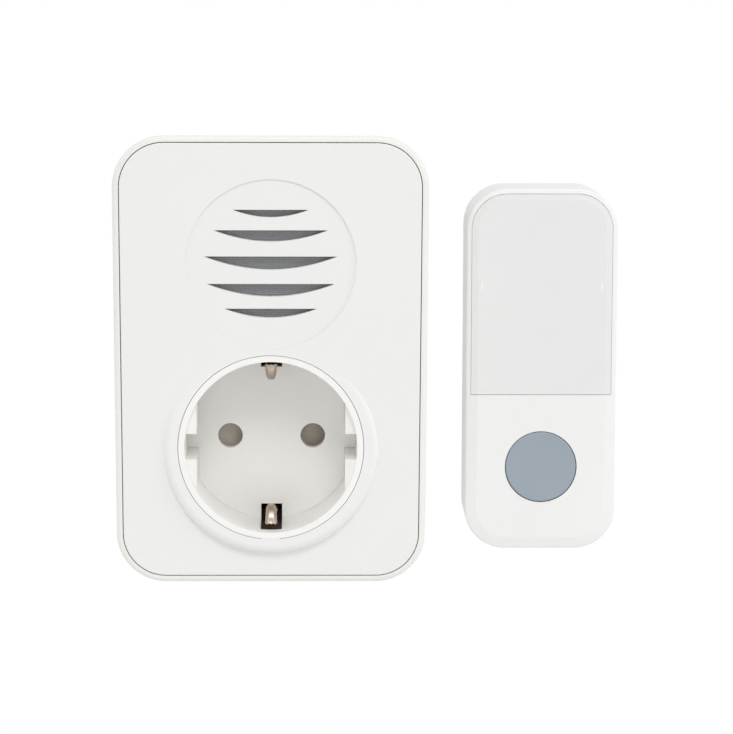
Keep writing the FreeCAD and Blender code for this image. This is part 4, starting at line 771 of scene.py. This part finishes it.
def woven_cloth():
    """Woven acoustic polyester: dark threads over and under, which shows as a fine soft check.

    Real threads lie 0.25 mm apart; they are drawn 0.5 mm apart so that the weave shows. A wave
    texture of scale 1 turns through 20 radians in a metre."""
    thread_gap, thread_height, radians_at_one = 0.5, 0.12, 20.0
    made, tree, place = new_material("woven dark acoustic cloth")
    threads = [
        add(tree, "ShaderNodeTexWave", {
            "Vector": place, "Scale": 2 * math.pi * per(thread_gap) / radians_at_one,
            "Distortion": 0.4, "Detail": 1.0,
        }, bands_direction=axis)
        for axis in "XZ"
    ]
    weave = add(tree, "ShaderNodeMath", {
        0: threads[0].outputs["Fac"], 1: threads[1].outputs["Fac"],
    }, operation="MULTIPLY")
    tone = add(tree, "ShaderNodeMix", {
        "Factor": weave.outputs[0], MIX_FIRST: linear("#838586"), MIX_SECOND: linear("#a0a2a4"),
    }, data_type="RGBA")
    relief = add(tree, "ShaderNodeBump", {
        "Strength": 0.8, "Distance": thread_height * MM, "Height": weave.outputs[0],
    })
    skin = add(tree, "ShaderNodeBsdfPrincipled", {
        "Base Color": tone.outputs[MIX_RESULT], "Roughness": 0.95, "Sheen Weight": 0.15,
        "Normal": relief.outputs[0],
    })
    add(tree, "ShaderNodeOutputMaterial", {"Surface": skin.outputs[0]})
    return made


def etched_board():
    """Glass-epoxy laminate under green solder mask: raised copper tracks show paler through it.

    The tracks are the lines between scattered cells. From and to are where a track's edge begins
    and ends, as shares of a cell."""
    cell_size, track_from, track_to, track_height = 4.5, 0.05, 0.07, 0.035
    made, tree, place = new_material("green solder mask on laminate")
    cells = add(tree, "ShaderNodeTexVoronoi", {
        "Vector": place, "Scale": per(cell_size), "Randomness": 0.6,
    }, feature="DISTANCE_TO_EDGE")
    track = add(tree, "ShaderNodeMapRange", {
        "Value": cells.outputs["Distance"], "From Min": track_from, "From Max": track_to,
        "To Min": 1.0, "To Max": 0.0,
    })
    tone = add(tree, "ShaderNodeMix", {
        "Factor": track.outputs[0], MIX_FIRST: linear("#1d5b3c"), MIX_SECOND: linear("#3b8a58"),
    }, data_type="RGBA")
    relief = add(tree, "ShaderNodeBump", {
        "Strength": 0.6, "Distance": track_height * MM, "Height": track.outputs[0],
    })
    skin = add(tree, "ShaderNodeBsdfPrincipled", {
        "Base Color": tone.outputs[MIX_RESULT], "Roughness": 0.35, "IOR": 1.5,
        "Normal": relief.outputs[0],
    })
    add(tree, "ShaderNodeOutputMaterial", {"Surface": skin.outputs[0]})
    return made


def frosted_pane():
    """Clear acrylic with a fine frost on its back: the card shows faintly through a white veil."""
    haze_size, glossiest, dullest = 9.0, 0.1, 0.2
    made, tree, place = new_material("back-frosted clear acrylic")
    haze = add(tree, "ShaderNodeTexNoise", {"Vector": place, "Scale": per(haze_size)})
    tone = add(tree, "ShaderNodeMix", {
        "Factor": haze.outputs["Fac"], MIX_FIRST: linear("#eeeeee"), MIX_SECOND: linear("#f1f1f1"),
    }, data_type="RGBA")
    gloss = add(tree, "ShaderNodeMapRange", {
        "Value": haze.outputs["Fac"], "To Min": glossiest, "To Max": dullest,
    })
    skin = add(tree, "ShaderNodeBsdfPrincipled", {
        "Base Color": tone.outputs[MIX_RESULT], "Roughness": gloss.outputs[0],
        "IOR": 1.49, "Alpha": 0.88,
    })
    add(tree, "ShaderNodeOutputMaterial", {"Surface": skin.outputs[0]})
    return made


def make_materials():
    """One material for each slot of the record, and two for pieces that only the scene has.

    A moulded stuff is given by its name, two colours, roughness, grain size and grain depth; a
    drawn metal by its name, two colours, roughness and the axis of its streaks."""
    return {
        # White ABS from a spark-eroded tool: an even matt skin with a soft, broad sheen.
        "housing_abs": moulded(
            "spark-eroded white ABS, rear", "#ecebe8", "#e8e7e3", 0.5, 0.35, 0.02
        ),
        "cover_abs": moulded(
            "spark-eroded white ABS, cover", "#ebebe9", "#e8e8e6", 0.48, 0.35, 0.02
        ),
        "push_abs": moulded(
            "spark-eroded white ABS, push", "#eeeeed", "#ebebea", 0.45, 0.35, 0.015
        ),
        "plate_abs": moulded(
            "spark-eroded white ABS, plate", "#e9e8e5", "#e4e3df", 0.5, 0.35, 0.02
        ),
        # Satin ABS from a finer tool: the same skin with a little more gloss.
        "button_white": moulded(
            "satin white ABS, side button", "#f0efed", "#ebe9e6", 0.42, 0.35, 0.01
        ),
        "button_grey": moulded("satin grey-blue ABS", "#99a4ae", "#949fa9", 0.5, 0.3, 0.015),
        # Polyamide and polyacetal for the mains parts: smooth and slightly waxy.
        "insert_thermoplastic": moulded(
            "smooth white polyamide", "#f3f2f0", "#efede9", 0.4, 0.6, 0.008
        ),
        "plug_thermoplastic": moulded(
            "smooth white polyamide, plug", "#ecebe8", "#e6e4df", 0.36, 0.6, 0.01
        ),
        "shutter_plastic": moulded(
            "moulded grey polyacetal", "#bdb5aa", "#b2a99e", 0.4, 0.4, 0.01
        ),
        # Vulcanised fibre sheet: dark brown and matt, with a faint fibrous mottle.
        # Its dark brown is partly painted shade for the deep insides of the earth windows.
        "fibre_and_shade_lining": moulded("brown vulcanised fibre and painted shade", "#3c2c1e", "#30241a", 0.8, 0.5, 0.03),
        # Contacts, springs, screws, cans and the aerial: bright metal, with fine lines along the
        # way that it was turned, rolled or drawn.
        "pin_nickel": drawn_metal("turned nickel-plated brass", "#cfcac2", "#c2bcb2", 0.24, "Y"),
        "contact_brass": drawn_metal("rolled brass", "#c9a55c", "#b8924a", 0.3, "Y"),
        "earth_spring_metal": drawn_metal(
            "nickel-plated spring bronze", "#c1b3a5", "#b2a496", 0.36, "Y"
        ),
        "spring_steel": drawn_metal("drawn spring steel", "#a7a7a5", "#90908f", 0.3, "X"),
        "screw_zinc": drawn_metal("zinc-plated steel screw", "#b9bbb9", "#a4a6a5", 0.32, "Y"),
        "crystal_metal": drawn_metal("nickel-plated can", "#c6c5c0", "#b6b5b0", 0.25, "Z"),
        "aerial_copper": drawn_metal("enamelled copper wire", "#b8643a", "#a4552f", 0.28, "X"),
        # The loudspeaker: dull plated steel, dead black paper and grey ferrite behind dark cloth.
        "speaker_cloth": woven_cloth(),
        "speaker_steel": drawn_metal(
            "zinc-plated pressed steel", "#b4b6b7", "#a2a5a8", 0.4, "X", streak=0.6
        ),
        "speaker_paper": moulded("pressed black paper pulp", "#26262a", "#303034", 0.85, 0.5, 0.06),
        "magnet_ferrite": moulded("sintered ferrite", "#3a3b3d", "#2f3032", 0.6, 0.4, 0.03),
        # The board and what stands on it: glossy sleeves and shells, satin epoxy, a dull coat.
        "board_laminate": etched_board(),
        "capacitor_film": moulded(
            "potted film capacitor shell", "#c9a23b", "#bd9530", 0.35, 0.8, 0.02
        ),
        "capacitor_can": moulded("printed capacitor sleeve", "#2b2f3d", "#242834", 0.35, 0.8, 0.01),
        "resistor_coat": moulded("flameproof resistor coat", "#6f8f7c", "#647f70", 0.6, 0.3, 0.03),
        "diode_epoxy": moulded("black moulded epoxy, diode", "#1f1f20", "#262627", 0.45, 0.3, 0.01),
        "chip_epoxy": moulded("black moulded epoxy, chip", "#1c1c1d", "#232324", 0.55, 0.2, 0.01),
        "switch_plastic": moulded(
            "black moulded switch case", "#2a2a2b", "#232324", 0.45, 0.3, 0.01
        ),
        "stem_plastic": moulded("grey moulded switch stem", "#8c8d8e", "#7f8081", 0.45, 0.3, 0.01),
        # Leads: smooth, slightly glossy skins.
        "mains_pvc": moulded("extruded brown PVC", "#6c4a35", "#5f3f2c", 0.4, 0.5, 0.01),
        "signal_pvc": moulded("extruded red PVC", "#a93a30", "#973028", 0.4, 0.5, 0.01),
        # The window, and its catches where the back has no frost, which catch more light.
        "window_clear": frosted_pane(),
        "catch_clear": moulded(
            "polished clear acrylic catch", "#eeedeb", "#ecebe9", 0.3, 0.4, 0.005
        ),
        # Coated card: white and dull. Foil: blue-grey with a metal gleam. Foam: soft and dead matt.
        "card_paper": moulded("coated white card", "#f6f6f5", "#f3f3f2", 0.7, 0.25, 0.01),
        "battery_jacket": moulded(
            "printed foil jacket", "#3d4d66", "#364559", 0.3, 1.2, 0.01, metallic=0.6
        ),
        "pad_foam": moulded("white closed-cell foam", "#e6e5e0", "#dddcd6", 0.9, 0.5, 0.12),
    }


def dress_nodes(materials):
    """Gives each CAD node the material of its slot."""
    for node in cad.values():
        slot = node.data.materials[0].name
        node.material_slots[0].link = "OBJECT"
        node.material_slots[0].material = materials[slot]


def round_block_edges():
    """Rounds the sharp edges of the moulded and potted blocks on the boards, by a bevel in mm."""
    sharpest, segments = 60.0, 3
    for name, width in (
        ("film_capacitor", 0.6), ("fusible_resistor", 0.5), ("rectifier_diodes", 0.25),
        ("melody_switch", 0.2), ("volume_switch", 0.2), ("bell_switch", 0.2),
        ("chime_chips", 0.15), ("push_chip", 0.12), ("radio_module", 0.1),
    ):
        merge = cad[name].modifiers.new("Merge doubles", "WELD")
        merge.merge_threshold = WELD
        bevel = cad[name].modifiers.new("Moulded edge", "BEVEL")
        bevel.width = width * MM
        bevel.segments = segments
        bevel.limit_method = "ANGLE"
        bevel.angle_limit = math.radians(sharpest)


materials = make_materials()
set_camera()
set_world()
set_stage()
set_lamps()
dress_nodes(materials)
round_block_edges()
make_earth_clips(materials["earth_spring_metal"])
make_shade_and_fibre_linings(materials["fibre_and_shade_lining"])
make_shutter(materials["shutter_plastic"])
make_bell_button(materials["button_grey"])
make_speaker_cloth(materials["speaker_cloth"])
make_speaker_cone(materials["speaker_paper"])
make_battery(materials["battery_jacket"], materials["crystal_metal"])
make_smoothing_capacitor(materials["capacitor_can"], materials["crystal_metal"])
make_catch_cups(materials["push_abs"], materials["catch_clear"])
make_window_seal(materials["push_abs"])
make_wall_pads(materials["pad_foam"])
